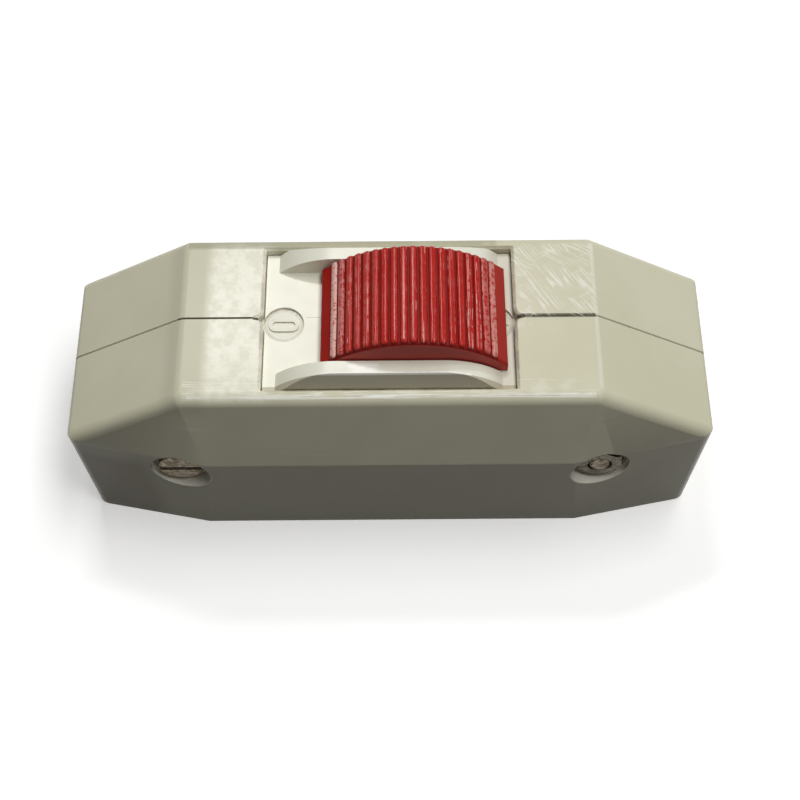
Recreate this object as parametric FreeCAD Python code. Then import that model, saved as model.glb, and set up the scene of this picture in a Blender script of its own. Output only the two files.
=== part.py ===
"""Inline cord switch, two-pole, with a red ribbed thumb slider.

The housing is two alike half shells, split on the upright plane along its
middle (the XZ plane) and drawn together by two long screws whose heads are on
opposite sides.  A white switch module hangs in the window of the top face.
Its slider carries a contact carrier that moves two spring-loaded bridges over
fixed contact strips.  The cord's wires reach the strips through terminal
blocks, and a clamp bar behind each cable inlet holds the cord's sheath.

Frame: X along the switch, Y across it, Z up.  The origin is the centre of the
underside.  Front is -Y, left is -X.  All sizes are in millimetres.
"""
import FreeCAD
import Part
import os
from math import atan2, cos, degrees, pi, radians, sin, sqrt, tan

V = FreeCAD.Vector
X_AXIS, Y_AXIS, Z_AXIS = V(1, 0, 0), V(0, 1, 0), V(0, 0, 1)

# Housing, outside
housing_length = 90.6
housing_height = 31.0
belt_half_width = 16.9        # widest place, along the sharp crease
top_half_width = 13.0         # edge of the top face and of the sloping end faces
end_slope_run = 16.8          # from the bend of the top face out to the end wall
end_height = 20.4             # top of the upright end walls
crease_height = 19.2          # crease between the side walls and the bevels
taper_run = 19.7              # from the turn of the crease out to the end wall
side_draft = 1.05             # degrees the side walls lean in towards the underside
end_draft = 3.0               # degrees the end walls lean in towards the underside
wall = 1.8
top_edge_radius = 1.9         # long edges of the top and the bends to the end faces
corner_radius = 1.8           # upright edges at the ends
end_edge_radius = 1.4
seam_chamfer = 0.15           # small bevel that makes the parting line

# Window in the top face
window_half_length = 17.25
window_half_width = 11.3
window_lip = 0.35             # bevel round the window's edge
window_seam_radius = 1.4      # rounded corners where the window meets the parting line

# Housing screws and nuts
screw_gap = 2.6               # between a screw's boss and the module's cover
screw_height = 15.8
recess_radius = 4.2
recess_depth = 2.5            # recess floor below the crease
screw_radius = 1.75
screw_hole_clearance = 0.2
screw_head_radius = 3.2
screw_head_thickness = 1.1
screw_slot_width = 0.9
screw_slot_depth = 0.6
screw_tip = 0.2               # how far a screw's tip stands out of its nut
nut_flats = 6.0
nut_thickness = 2.4
nut_socket_depth = 1.4
nut_socket_clearance = 0.1
boss_radius = 3.6
boss_seat_radius = 5.9
boss_seat_thickness = 3.4

# Cable inlets and cord clamps
inlet_radius = 4.0
inlet_height = 9.5
collar_radius = 6.0
collar_length = 4.6
clamp_inset = 8.8             # middle of the clamp bar to the end of the housing
clamp_width = 4.2
clamp_half_span = 7.6
clamp_thickness = 2.8
clamp_gap = 2.4               # how far the posts reach past the parting plane
clamp_screw_offset = 5.7
clamp_post_radius = 2.0
clamp_saddle_edge = 2.0       # distance of the saddle's edge from the parting plane
clamp_screw_radius = 1.2
clamp_screw_head_radius = 1.9
clamp_screw_head_thickness = 1.5
clamp_screw_length = 8.0

# White switch module
plate_drop = 1.3              # the plate lies this far below the top face
plate_thickness = 1.6
plate_gap = 0.12              # between the plate and the window's edge
module_wall = 1.5
flange_length = 3.0
flange_thickness = 1.8
flange_inset = 1.2
rail_inner = 8.2
rail_outer = 10.1
rail_rise = 2.1               # top of the rails above the top face
rail_half_length = 15.4
rail_flat_half_length = 7.4
mark_x = 14.5
mark_y = -0.3
mark_radius = 2.75
mark_depth = 0.35
mark_rise = 0.25              # raised 0 and I inside the round recesses
mark_half_length = 2.1
mark_half_width = 1.05
mark_line = 0.55
cover_top = 14.0
cover_thickness = 2.0
terminal_gap = 0.47           # between the module's end wall and a terminal block

# Slider
slider_length = 25.4
slider_half_width = 7.95
slider_travel = 6.8
slider_clearance = 0.1
crown_height = 5.8            # smooth crown above the top face
crown_radius = 16.85
shoulder_height = 0.2         # outer end of the smooth end strips above the top face
shoulder_length = 1.4
slider_edge_radius = 0.6
rib_count = 19
rib_pitch = 1.30              # along the crown
rib_width = 0.95
rib_rise = 0.4
rib_root = 1.0                # how far a rib reaches down into the crown
rib_bevel = 0.18
rib_end_radius = 0.9
rib_end_inset = 0.6
stem_half_length = 4.5
stem_half_width = 2.0
stem_depth = 5.0              # how far the stem reaches into the contact carrier
slot_clearance = 0.3

# Contact carrier, bridges, springs and detent
carrier_half_length = 7.5
carrier_half_width = 8.6
carrier_height = 7.5
pole_y = 6.0
foot_offset = 5.5
foot_radius = 1.3
bridge_half_length = 7.0
bridge_half_width = 1.9
bridge_thickness = 0.8
bridge_rise = 1.2             # underside of the bridge above the contact strips
contact_clearance = 0.05
spring_radius = 1.65
spring_wire_radius = 0.3
spring_turns = 5
pocket_radius = 2.3
pocket_depth = 6.0
detent_half_length = 9.0
detent_half_width = 1.5
detent_thickness = 0.4
detent_depth = 0.6
detent_nose_radius = 1.6

# Contact strips and terminals
strip_half_width = 2.0
strip_thickness = 0.8
left_strip_end = -6.4
right_strip_start = 0.2
terminal_length = 5.8
terminal_half_width = 3.3
terminal_height = 7.0
wire_hole_radius = 1.5
wire_hole_rise = 2.9
terminal_screw_radius = 1.25
terminal_screw_head_radius = 1.9
terminal_screw_head_thickness = 1.2
terminal_screw_slot = 0.6
terminal_screw_bite = 1.0     # how far a screw reaches into its wire hole

# Earth connector below the module
earth_length = 13.0
earth_half_width = 3.0
earth_height = 6.4
earth_seat_height = 3.0
earth_screw_offset = 3.6
earth_screw_rise = 0.8
earth_wire_drop = 0.6         # wire hole below the middle of the bar
earth_pad_half_length = 5.5
earth_pad_half_width = 4.0
cradle_x = 14.0
cradle_thickness = 1.6
cradle_opening = 5.5          # half width left open for the wires

# Values that follow from the ones above
half_length = housing_length / 2
top_half_length = half_length - end_slope_run
crease_half_length = half_length - taper_run
clamp_x = half_length - clamp_inset
recess_floor = belt_half_width - recess_depth
plate_top = housing_height - plate_drop
plate_bottom = plate_top - plate_thickness
module_half_length = window_half_length - plate_gap
module_half_width = window_half_width - plate_gap
cover_half_length = module_half_length + terminal_gap + terminal_length
screw_x = cover_half_length + screw_gap + boss_radius
carrier_top = plate_bottom - slider_clearance
carrier_bottom = carrier_top - carrier_height
strip_top = cover_top + strip_thickness
bridge_bottom = strip_top + bridge_rise
bridge_top = bridge_bottom + bridge_thickness
slider_rest = slider_travel / 2
slider_bottom = plate_top + slider_clearance
crown_centre = housing_height + crown_height - crown_radius
BIG = 4 * housing_length
OVER = 1.0                    # overlap that keeps cuts and joins clean


def box(x0, x1, y0, y1, z0, z1):
    """Box between two corners."""
    return Part.makeBox(x1 - x0, y1 - y0, z1 - z0, V(x0, y0, z0))


def rod(radius, start, axis, length):
    """Cylinder from a point along an axis."""
    return Part.makeCylinder(radius, length, start, axis)


def prism(points, direction):
    """Closed outline through the points, extruded along a direction."""
    return Part.Face(Part.makePolygon(points + points[:1])).extrude(direction)


def joined(shapes):
    """One solid from several that touch or overlap."""
    return shapes[0].fuse(shapes[1:]).removeSplitter()


def turned(shape):
    """Copy turned half round about the upright axis."""
    copy = shape.copy()
    copy.rotate(V(0, 0, 0), Z_AXIS, 180)
    return copy


def rounded(shape, radius, wanted):
    """Fillet the edges for which wanted(edge) holds."""
    edges = [edge for edge in shape.Edges if wanted(edge)]
    return shape.makeFillet(radius, edges)


def near(value, target):
    """True where two lengths agree to a hundredth."""
    return abs(value - target) < 0.01


def facets():
    """Three points on each plane of the housing, as a roof list and a tub list."""
    top_corner = (top_half_length, top_half_width, housing_height)
    end_corner = (half_length, top_half_width, end_height)
    belt_corner = (crease_half_length, belt_half_width, crease_height)
    foot_y = belt_half_width - crease_height * tan(radians(side_draft))
    foot_x = half_length - end_height * tan(radians(end_draft))
    taper = (belt_half_width - top_half_width) / (half_length - crease_half_length)
    taper_foot_y = belt_half_width - taper * (top_half_length - crease_half_length)
    roof, tub = [], []
    for sx in (1, -1):
        roof.append([(sx * top_half_length, 1, housing_height),
                     (sx * top_half_length, -1, housing_height),
                     (sx * half_length, 0, end_height)])
        tub.append([(sx * half_length, 1, end_height),
                    (sx * half_length, -1, end_height),
                    (sx * foot_x, 0, 0)])
        for sy in (1, -1):
            roof.append([(sx * x, sy * y, z) for x, y, z in
                         (top_corner, end_corner, belt_corner)])
            tub.append([(sx * x, sy * y, z) for x, y, z in
                        (belt_corner, end_corner, (top_half_length, taper_foot_y, 0))])
    for sy in (1, -1):
        roof.append([(1, sy * top_half_width, housing_height),
                     (-1, sy * top_half_width, housing_height),
                     (0, sy * belt_half_width, crease_height)])
        tub.append([(1, sy * belt_half_width, crease_height),
                    (-1, sy * belt_half_width, crease_height),
                    (0, sy * foot_y, 0)])
    return roof, tub


def trimmed(solid, planes, inset):
    """Cut away all that lies outside each plane, moved inwards by the inset."""
    inside = V(0, 0, housing_height / 2)
    for points in planes:
        a, b, c = [V(*point) for point in points]
        normal = (b - a).cross(c - a).normalize()
        if normal.dot(a - inside) < 0:
            normal = normal * -1
        outer = Part.makeBox(BIG, BIG, BIG, V(-BIG / 2, -BIG / 2, 0))
        turn = FreeCAD.Rotation(Z_AXIS, normal)
        outer.Placement = FreeCAD.Placement(a - normal * inset, turn).multiply(outer.Placement)
        solid = solid.cut(outer)
    return solid


def side_outline():
    """The housing seen from the front, extruded across it, with its end edges rounded."""
    foot_x = half_length - end_height * tan(radians(end_draft))
    right = [(foot_x, 0), (half_length, end_height), (top_half_length, housing_height)]
    outline = right + [(-x, z) for x, z in reversed(right)]
    bar = prism([V(x, -housing_length, z) for x, z in outline], V(0, 2 * housing_length, 0))

    def end_top_edge(edge):
        return all(near(vertex.Point.z, end_height) for vertex in edge.Vertexes)

    return rounded(bar, end_edge_radius, end_top_edge)


def housing_outside():
    """The closed housing's outer form: a hipped roof on an eight-sided tub."""
    roof_planes, tub_planes = facets()
    block = box(-housing_length, housing_length, -housing_length, housing_length,
                0, housing_height)
    roof = trimmed(block, roof_planes, 0)

    def on_roof_edge(edge):
        ends = [vertex.Point for vertex in edge.Vertexes]
        return len(ends) == 2 and all(near(abs(p.y), top_half_width) for p in ends)

    roof = rounded(roof, top_edge_radius, on_roof_edge)
    tub = trimmed(block, tub_planes, 0)

    def upright_at_end(edge):
        middle = edge.CenterOfMass
        run = edge.tangentAt(edge.FirstParameter)
        return abs(run.z) > 0.9 and abs(middle.x) > (crease_half_length + half_length) / 2

    tub = rounded(tub, corner_radius, upright_at_end)
    return roof.common(tub).common(side_outline())


def housing_inside():
    """The space inside the walls."""
    roof_planes, tub_planes = facets()
    block = box(-half_length, half_length, -belt_half_width, belt_half_width,
                wall, housing_height - wall)
    return trimmed(block, roof_planes + tub_planes, wall)


def hexagon(flats, y0, y1):
    """Six-sided prism along Y about the origin, one corner towards +X."""
    corner = flats / sqrt(3)
    points = [V(corner * cos(k * pi / 3), y0, corner * sin(k * pi / 3)) for k in range(6)]
    return prism(points, V(0, y1 - y0, 0))


def window_edge(grow, z):
    """Front half of the window's edge, flared where it meets the parting line."""
    x = window_half_length + grow
    flare = window_half_length + window_seam_radius
    radius = window_seam_radius - grow
    points = []
    for side in (1, -1):
        points.append([V(side * x, -window_half_width - grow, z),
                       V(side * x, -window_seam_radius, z),
                       V(side * (flare - radius * sqrt(0.5)),
                         radius * sqrt(0.5) - window_seam_radius, z),
                       V(side * flare, -grow, z),
                       V(side * flare, OVER, z)])
    right, left = points
    return Part.Wire([Part.makeLine(right[0], right[1]),
                      Part.Arc(right[1], right[2], right[3]).toShape(),
                      Part.makeLine(right[3], right[4]),
                      Part.makeLine(right[4], left[4]),
                      Part.makeLine(left[4], left[3]),
                      Part.Arc(left[3], left[2], left[1]).toShape(),
                      Part.makeLine(left[1], left[0]),
                      Part.makeLine(left[0], right[0])])


def shell():
    """Front half shell; the rear one is the same moulding turned half round."""
    outside = housing_outside()
    front = box(-BIG, BIG, -BIG, 0, -BIG, BIG)
    half = outside.common(front)

    def seam_edge(edge):
        return all(near(vertex.Point.y, 0) for vertex in edge.Vertexes)

    half = half.makeChamfer(seam_chamfer, [edge for edge in half.Edges if seam_edge(edge)])
    inside = housing_inside()
    body = half.cut(inside)
    added = []
    for sx in (1, -1):
        foot = V(sx * screw_x, 0, screw_height)
        added.append(rod(boss_radius, foot, -Y_AXIS, belt_half_width))
        seat = V(foot.x, boss_seat_thickness - recess_floor, foot.z)
        added.append(rod(boss_seat_radius, seat, -Y_AXIS, belt_half_width))
        collar = V(sx * (half_length - collar_length), 0, inlet_height)
        added.append(rod(collar_radius, collar, V(sx, 0, 0), collar_length))
        cradle = sx * cradle_x
        added.append(box(cradle - cradle_thickness / 2, cradle + cradle_thickness / 2,
                         -belt_half_width, -cradle_opening, 0, cover_top - cover_thickness))
    added.append(box(-earth_pad_half_length, earth_pad_half_length,
                     -earth_pad_half_width, 0, 0, earth_seat_height))
    added.append(box(-clamp_x - clamp_width / 2, -clamp_x + clamp_width / 2,
                     -belt_half_width, -clamp_saddle_edge,
                     inlet_height - clamp_half_span, inlet_height + clamp_half_span))
    ribs = [shape.common(inside).common(front) for shape in added]
    for side in (1, -1):
        post = V(-clamp_x, clamp_gap, inlet_height + side * clamp_screw_offset)
        ribs.append(rod(clamp_post_radius, post, -Y_AXIS,
                        clamp_gap + clamp_saddle_edge + OVER))
    body = joined([body] + ribs)

    lip_start = housing_height - window_lip
    bevel = [window_edge(0, lip_start), window_edge(2 * window_lip, lip_start + 2 * window_lip)]
    opening = Part.Face(window_edge(0, housing_height / 2)).extrude(V(0, 0, housing_height))
    cuts = [opening, Part.makeLoft(bevel, True, True)]
    for sx in (1, -1):
        hole = V(sx * screw_x, 0, screw_height)
        cuts.append(rod(screw_radius + screw_hole_clearance, hole, -Y_AXIS, BIG))
        cuts.append(rod(recess_radius, V(hole.x, -recess_floor, hole.z), -Y_AXIS, BIG))
        inlet = V(sx * (half_length - collar_length - OVER), 0, inlet_height)
        cuts.append(rod(inlet_radius, inlet, V(sx, 0, 0), BIG))
    socket = hexagon(nut_flats + 2 * nut_socket_clearance,
                     -recess_floor - OVER, -recess_floor + nut_socket_depth)
    socket.translate(V(screw_x, 0, screw_height))
    cuts.append(socket)
    saddle = V(-clamp_x - clamp_width, 0, inlet_height)
    cuts.append(rod(inlet_radius, saddle, X_AXIS, 2 * clamp_width))
    for side in (1, -1):
        pilot = V(-clamp_x, clamp_gap, inlet_height + side * clamp_screw_offset)
        cuts.append(rod(clamp_screw_radius, pilot, -Y_AXIS, clamp_screw_length - clamp_thickness))
    return body.cut(cuts)


def rail():
    """Front guide rail: an arched bar with a leaning outer face."""
    top = housing_height + rail_rise
    rise = top - plate_top
    run = rail_half_length - rail_flat_half_length
    radius = (run ** 2 + rise ** 2) / (2 * rise)
    section = prism([V(-rail_half_length, -rail_inner, plate_bottom),
                     V(-rail_half_length, -rail_inner, top),
                     V(-rail_half_length, -rail_outer, top),
                     V(-rail_half_length, -module_half_width, housing_height),
                     V(-rail_half_length, -module_half_width, plate_bottom)],
                    V(2 * rail_half_length, 0, 0))
    arc_angle = atan2(run, radius - rise)

    def on_arc(side, share):
        angle = arc_angle * share
        return V(side * (rail_flat_half_length + radius * sin(angle)), -BIG,
                 top - radius + radius * cos(angle))

    feet = [V(side * rail_half_length, -BIG, plate_bottom) for side in (-1, 1)]
    outline = Part.Wire([
        Part.makeLine(feet[0], on_arc(-1, 1)),
        Part.Arc(on_arc(-1, 1), on_arc(-1, 0.5), on_arc(-1, 0)).toShape(),
        Part.makeLine(on_arc(-1, 0), on_arc(1, 0)),
        Part.Arc(on_arc(1, 0), on_arc(1, 0.5), on_arc(1, 1)).toShape(),
        Part.makeLine(on_arc(1, 1), feet[1]),
        Part.makeLine(feet[1], feet[0])])
    return section.common(Part.Face(outline).extrude(V(0, 2 * BIG, 0)))


def zero_mark():
    """Raised 0 at the left, an oval ring lying along the switch."""
    floor = plate_top - mark_depth
    ring = []
    for inset in (0, mark_line):
        radius = mark_half_width - inset
        reach = mark_half_length - mark_half_width
        bar = box(-mark_x - reach, -mark_x + reach, mark_y - radius, mark_y + radius,
                  floor - OVER / 2, floor + mark_rise)
        ends = [rod(radius, V(-mark_x + side * reach, mark_y, floor - OVER / 2), Z_AXIS,
                    OVER / 2 + mark_rise) for side in (1, -1)]
        ring.append(joined([bar] + ends))
    return ring[0].cut(ring[1])


def one_mark():
    """Raised I at the right, a plain bar lying along the switch."""
    floor = plate_top - mark_depth
    return box(mark_x - mark_half_length, mark_x + mark_half_length,
               mark_y - mark_line / 2, mark_y + mark_line / 2,
               floor - OVER / 2, floor + mark_rise)


def switch_body():
    """White moulding: plate, guide rails, end flanges and the walls round the contacts."""
    outer = box(-module_half_length, module_half_length,
                -module_half_width, module_half_width, cover_top, plate_top)
    inner = box(-module_half_length + module_wall, module_half_length - module_wall,
                -module_half_width + module_wall, module_half_width - module_wall,
                cover_top - OVER, plate_bottom)
    flange_top = housing_height - wall
    flange = box(-module_half_length - flange_length, module_half_length + flange_length,
                 -module_half_width + flange_inset, module_half_width - flange_inset,
                 flange_top - flange_thickness, flange_top)
    body = joined([outer, flange, rail(), turned(rail())]).cut(inner)
    slot_half_length = stem_half_length + slider_rest + slot_clearance
    cuts = [box(-slot_half_length, slot_half_length,
                -stem_half_width - slot_clearance, stem_half_width + slot_clearance,
                plate_bottom - OVER, plate_top + OVER)]
    for sx in (1, -1):
        centre = V(sx * mark_x, mark_y, plate_top - mark_depth)
        cuts.append(rod(mark_radius, centre, Z_AXIS, OVER))
        for sy in (1, -1):
            cuts.append(box(sx * module_half_length - module_wall - OVER,
                            sx * module_half_length + module_wall + OVER,
                            sy * pole_y - strip_half_width, sy * pole_y + strip_half_width,
                            cover_top - OVER, strip_top))
    return joined([body.cut(cuts), zero_mark(), one_mark()])


def module_cover():
    """Base plate under the contacts, with a land between each pair of strips."""
    plate = box(-cover_half_length, cover_half_length, -module_half_width, module_half_width,
                cover_top - cover_thickness, cover_top)
    lands = [box(left_strip_end, right_strip_start, sy * pole_y - strip_half_width,
                 sy * pole_y + strip_half_width, cover_top, strip_top) for sy in (1, -1)]
    return joined([plate] + lands)


def crown_outline():
    """Slider seen from the front, as a closed face on the plane y = 0."""
    end = slider_length / 2
    shoulder_x = end - shoulder_length
    shoulder_z = crown_centre + sqrt(crown_radius ** 2 - shoulder_x ** 2)
    low = housing_height + shoulder_height
    points = [V(-shoulder_x, 0, shoulder_z), V(-end, 0, low), V(-end, 0, slider_bottom),
              V(end, 0, slider_bottom), V(end, 0, low), V(shoulder_x, 0, shoulder_z)]
    arc = Part.Arc(points[-1], V(0, 0, crown_centre + crown_radius), points[0]).toShape()
    return Part.Face(Part.Wire(Part.makePolygon(points).Edges + [arc]))


def rib():
    """Top rib of the crown, bevelled along its edges and rounded down at its ends."""
    end = slider_half_width - rib_end_inset
    base = crown_centre + crown_radius - rib_root
    top = crown_centre + crown_radius + rib_rise
    curve = rib_end_radius * (1 - sqrt(0.5))
    outline = Part.Wire([
        Part.makeLine(V(0, -end, base), V(0, -end, top - rib_end_radius)),
        Part.Arc(V(0, -end, top - rib_end_radius), V(0, -end + curve, top - curve),
                 V(0, -end + rib_end_radius, top)).toShape(),
        Part.makeLine(V(0, -end + rib_end_radius, top), V(0, end - rib_end_radius, top)),
        Part.Arc(V(0, end - rib_end_radius, top), V(0, end - curve, top - curve),
                 V(0, end, top - rib_end_radius)).toShape(),
        Part.makeLine(V(0, end, top - rib_end_radius), V(0, end, base)),
        Part.makeLine(V(0, end, base), V(0, -end, base))])
    bar = Part.Face(outline).extrude(V(rib_width, 0, 0))
    bar.translate(V(-rib_width / 2, 0, 0))

    def above_base(edge):
        middle = edge.CenterOfMass
        return near(abs(middle.x), rib_width / 2) and middle.z > base + 0.01

    return bar.makeChamfer(rib_bevel, [edge for edge in bar.Edges if above_base(edge)])


def slider():
    """Red thumb slider with its ribbed crown and the stem that drives the carrier."""
    block = crown_outline().extrude(V(0, slider_half_width, 0))
    block = block.fuse(crown_outline().extrude(V(0, -slider_half_width, 0))).removeSplitter()

    def crown_side(edge):
        middle = edge.CenterOfMass
        return near(abs(middle.y), slider_half_width) and middle.z > housing_height + shoulder_height

    block = rounded(block, slider_edge_radius, crown_side)
    ribs = []
    for index in range(rib_count):
        angle = degrees((index - (rib_count - 1) / 2) * rib_pitch / crown_radius)
        copy = rib()
        copy.rotate(V(0, 0, crown_centre), Y_AXIS, angle)
        ribs.append(copy)
    stem = box(-stem_half_length, stem_half_length, -stem_half_width, stem_half_width,
               carrier_top - stem_depth, slider_bottom + OVER)
    whole = joined([block, stem] + ribs)
    whole.translate(V(slider_rest, 0, 0))
    return whole


def contact_carrier():
    """Block under the plate that takes the stem, the two springs and the detent notches."""
    block = box(-carrier_half_length, carrier_half_length, -carrier_half_width,
                carrier_half_width, carrier_bottom, carrier_top)
    cuts = [box(-stem_half_length, stem_half_length, -stem_half_width, stem_half_width,
                carrier_top - stem_depth, carrier_top + OVER)]
    for side in (1, -1):
        cuts.append(rod(pocket_radius, V(0, side * pole_y, carrier_bottom), Z_AXIS, pocket_depth))
        nose = detent_nose_radius + contact_clearance
        centre = carrier_bottom + detent_depth - detent_nose_radius
        cuts.append(rod(nose, V(side * slider_rest, -detent_half_width - OVER, centre),
                        Y_AXIS, 2 * (detent_half_width + OVER)))
    carrier = block.cut(cuts)
    carrier.translate(V(slider_rest, 0, 0))
    return carrier


def contact_bridge(side):
    """Brass strip with two round feet that slides over the contact strips."""
    y = side * pole_y
    strip = box(-bridge_half_length, bridge_half_length, y - bridge_half_width,
                y + bridge_half_width, bridge_bottom, bridge_top)
    feet = [rod(foot_radius, V(x, y, strip_top + contact_clearance), Z_AXIS,
                bridge_rise - contact_clearance) for x in (-foot_offset, foot_offset)]
    bridge = joined([strip] + feet)
    bridge.translate(V(slider_rest, 0, 0))
    return bridge


def contact_spring(side):
    """Coil spring of six-sided wire between a bridge and the floor of its pocket."""
    length = carrier_bottom + pocket_depth - bridge_top
    rise = length - 2 * spring_wire_radius
    start = V(slider_rest, side * pole_y, bridge_top + spring_wire_radius)
    helix = Part.makeHelix(rise / spring_turns, rise, spring_radius)
    corners = [V(spring_radius + spring_wire_radius * cos(k * pi / 3), 0,
                 spring_wire_radius * sin(k * pi / 3)) for k in range(6)]
    section = Part.makePolygon(corners + corners[:1])
    spring = Part.Wire(helix.Edges).makePipeShell([section], True, True)
    spring.translate(start)
    return spring


def detent_spring():
    """Bent leaf whose nose rests in one of the carrier's two notches."""
    centre = carrier_bottom + detent_depth - detent_nose_radius
    reach = detent_half_length
    drop = centre - cover_top
    slant = atan2(drop, reach - detent_nose_radius)
    touch = V(detent_nose_radius * sin(slant), 0, centre + detent_nose_radius * cos(slant))
    foot = V(reach, 0, cover_top + detent_thickness)
    crest = V(0, 0, centre + detent_nose_radius)
    outer = Part.Wire([
        Part.makeLine(V(-foot.x, 0, foot.z), V(-touch.x, 0, touch.z)),
        Part.Arc(V(-touch.x, 0, touch.z), crest, touch).toShape(),
        Part.makeLine(touch, foot)])
    inner_points = [V(foot.x - detent_thickness, 0, cover_top),
                    V(touch.x - detent_thickness * sin(slant), 0,
                      touch.z - detent_thickness * cos(slant))]
    inner = Part.Wire([
        Part.makeLine(inner_points[0], inner_points[1]),
        Part.Arc(inner_points[1], crest - V(0, 0, detent_thickness),
                 V(-inner_points[1].x, 0, inner_points[1].z)).toShape(),
        Part.makeLine(V(-inner_points[1].x, 0, inner_points[1].z),
                      V(-inner_points[0].x, 0, cover_top))])
    tips = [Part.makeLine(foot, V(foot.x, 0, cover_top)),
            Part.makeLine(V(foot.x, 0, cover_top), inner_points[0]),
            Part.makeLine(V(-inner_points[0].x, 0, cover_top), V(-foot.x, 0, cover_top)),
            Part.makeLine(V(-foot.x, 0, cover_top), V(-foot.x, 0, foot.z))]
    edges = Part.__sortEdges__(outer.Edges + inner.Edges + tips)
    leaf = Part.Face(Part.Wire(edges)).extrude(V(0, 2 * detent_half_width, 0))
    leaf.translate(V(0, -detent_half_width, 0))
    return leaf


def fixed_contact(sx, sy):
    """Flat brass strip from the contact place to the terminal."""
    inner = right_strip_start if sx > 0 else left_strip_end
    low, high = sorted((inner, sx * cover_half_length))
    return box(low, high, sy * pole_y - strip_half_width, sy * pole_y + strip_half_width,
               cover_top, strip_top)


def terminal_screw_seat(sx, sy):
    """Point at the middle of a terminal block's top face."""
    return V(sx * (cover_half_length - terminal_length / 2), sy * pole_y,
             strip_top + terminal_height)


def terminal_block(sx, sy):
    """Brass block with a wire hole along X and a screw hole from above."""
    seat = terminal_screw_seat(sx, sy)
    block = box(seat.x - terminal_length / 2, seat.x + terminal_length / 2,
                seat.y - terminal_half_width, seat.y + terminal_half_width,
                strip_top, seat.z)
    wire = V(seat.x - terminal_length, seat.y, strip_top + wire_hole_rise)
    return block.cut([rod(wire_hole_radius, wire, X_AXIS, 2 * terminal_length),
                      rod(terminal_screw_radius, seat, -Z_AXIS,
                          terminal_height - wire_hole_rise)])


def slotted_screw(radius, length, head_radius, head_thickness, slot_width, slot_depth):
    """Screw along -Z with its head's underside at the origin and a slot along X."""
    screw = joined([rod(radius, V(0, 0, 0), -Z_AXIS, length),
                    rod(head_radius, V(0, 0, 0), Z_AXIS, head_thickness)])
    slot = box(-2 * head_radius, 2 * head_radius, -slot_width / 2, slot_width / 2,
               head_thickness - slot_depth, head_thickness + OVER)
    return screw.cut(slot)


def terminal_screw(sx, sy):
    """Small slotted screw standing in a terminal block."""
    length = terminal_height - wire_hole_rise - wire_hole_radius + terminal_screw_bite
    screw = slotted_screw(terminal_screw_radius, length, terminal_screw_head_radius,
                          terminal_screw_head_thickness, terminal_screw_slot,
                          terminal_screw_slot)
    screw.translate(terminal_screw_seat(sx, sy))
    return screw


def earth_connector():
    """Brass bar that joins the earth wires under the module."""
    bar = box(-earth_length / 2, earth_length / 2, -earth_half_width, earth_half_width,
              earth_seat_height, earth_seat_height + earth_height)
    middle = earth_seat_height + earth_height / 2
    cuts = [rod(wire_hole_radius, V(-earth_length, 0, middle - earth_wire_drop), X_AXIS,
                2 * earth_length)]
    for x in (-earth_screw_offset, earth_screw_offset):
        cuts.append(rod(terminal_screw_radius, V(x, 0, middle), Z_AXIS, earth_height))
    return bar.cut(cuts)


def earth_screws():
    """The two grub screws of the earth connector, slotted and without heads."""
    middle = earth_seat_height + earth_height / 2
    low = middle - earth_wire_drop + wire_hole_radius - terminal_screw_bite
    top = earth_seat_height + earth_height + earth_screw_rise
    screws = []
    for x in (-earth_screw_offset, earth_screw_offset):
        grub = rod(terminal_screw_radius, V(x, 0, low), Z_AXIS, top - low)
        slot = box(x - 2 * terminal_screw_radius, x + 2 * terminal_screw_radius,
                   -terminal_screw_slot / 2, terminal_screw_slot / 2,
                   top - terminal_screw_slot, top + OVER)
        screws.append(grub.cut(slot))
    return Part.makeCompound(screws)


def cable_clamp():
    """Left clamp bar, hollowed on the cord's side, on the front shell's two posts."""
    bar = box(-clamp_x - clamp_width / 2, -clamp_x + clamp_width / 2,
              clamp_gap, clamp_gap + clamp_thickness,
              inlet_height - clamp_half_span, inlet_height + clamp_half_span)
    cuts = [rod(inlet_radius, V(-clamp_x - clamp_width, 0, inlet_height), X_AXIS,
                2 * clamp_width)]
    for side in (1, -1):
        hole = V(-clamp_x, 0, inlet_height + side * clamp_screw_offset)
        cuts.append(rod(clamp_screw_radius + screw_hole_clearance, hole, Y_AXIS, BIG))
    return bar.cut(cuts)


def clamp_screws():
    """The two screws of the left clamp bar."""
    screws = []
    for side in (1, -1):
        screw = slotted_screw(clamp_screw_radius, clamp_screw_length, clamp_screw_head_radius,
                              clamp_screw_head_thickness, screw_slot_width, screw_slot_depth)
        screw.rotate(V(0, 0, 0), X_AXIS, -90)
        screw.translate(V(-clamp_x, clamp_gap + clamp_thickness,
                          inlet_height + side * clamp_screw_offset))
        screws.append(screw)
    return Part.makeCompound(screws)


def housing_screw():
    """Left housing screw, head at the front, tip level with its nut at the rear."""
    length = 2 * recess_floor - nut_socket_depth + nut_thickness + screw_tip
    screw = slotted_screw(screw_radius, length, screw_head_radius, screw_head_thickness,
                          screw_slot_width, screw_slot_depth)
    screw.rotate(V(0, 0, 0), X_AXIS, 90)
    screw.translate(V(-screw_x, -recess_floor, screw_height))
    return screw


def housing_nut():
    """Left housing nut, in the hexagonal socket of the rear shell."""
    seat = recess_floor - nut_socket_depth
    nut = hexagon(nut_flats, seat, seat + nut_thickness)
    nut = nut.cut(rod(screw_radius, V(0, 0, 0), Y_AXIS, BIG))
    nut.translate(V(-screw_x, 0, screw_height))
    return nut


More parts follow.
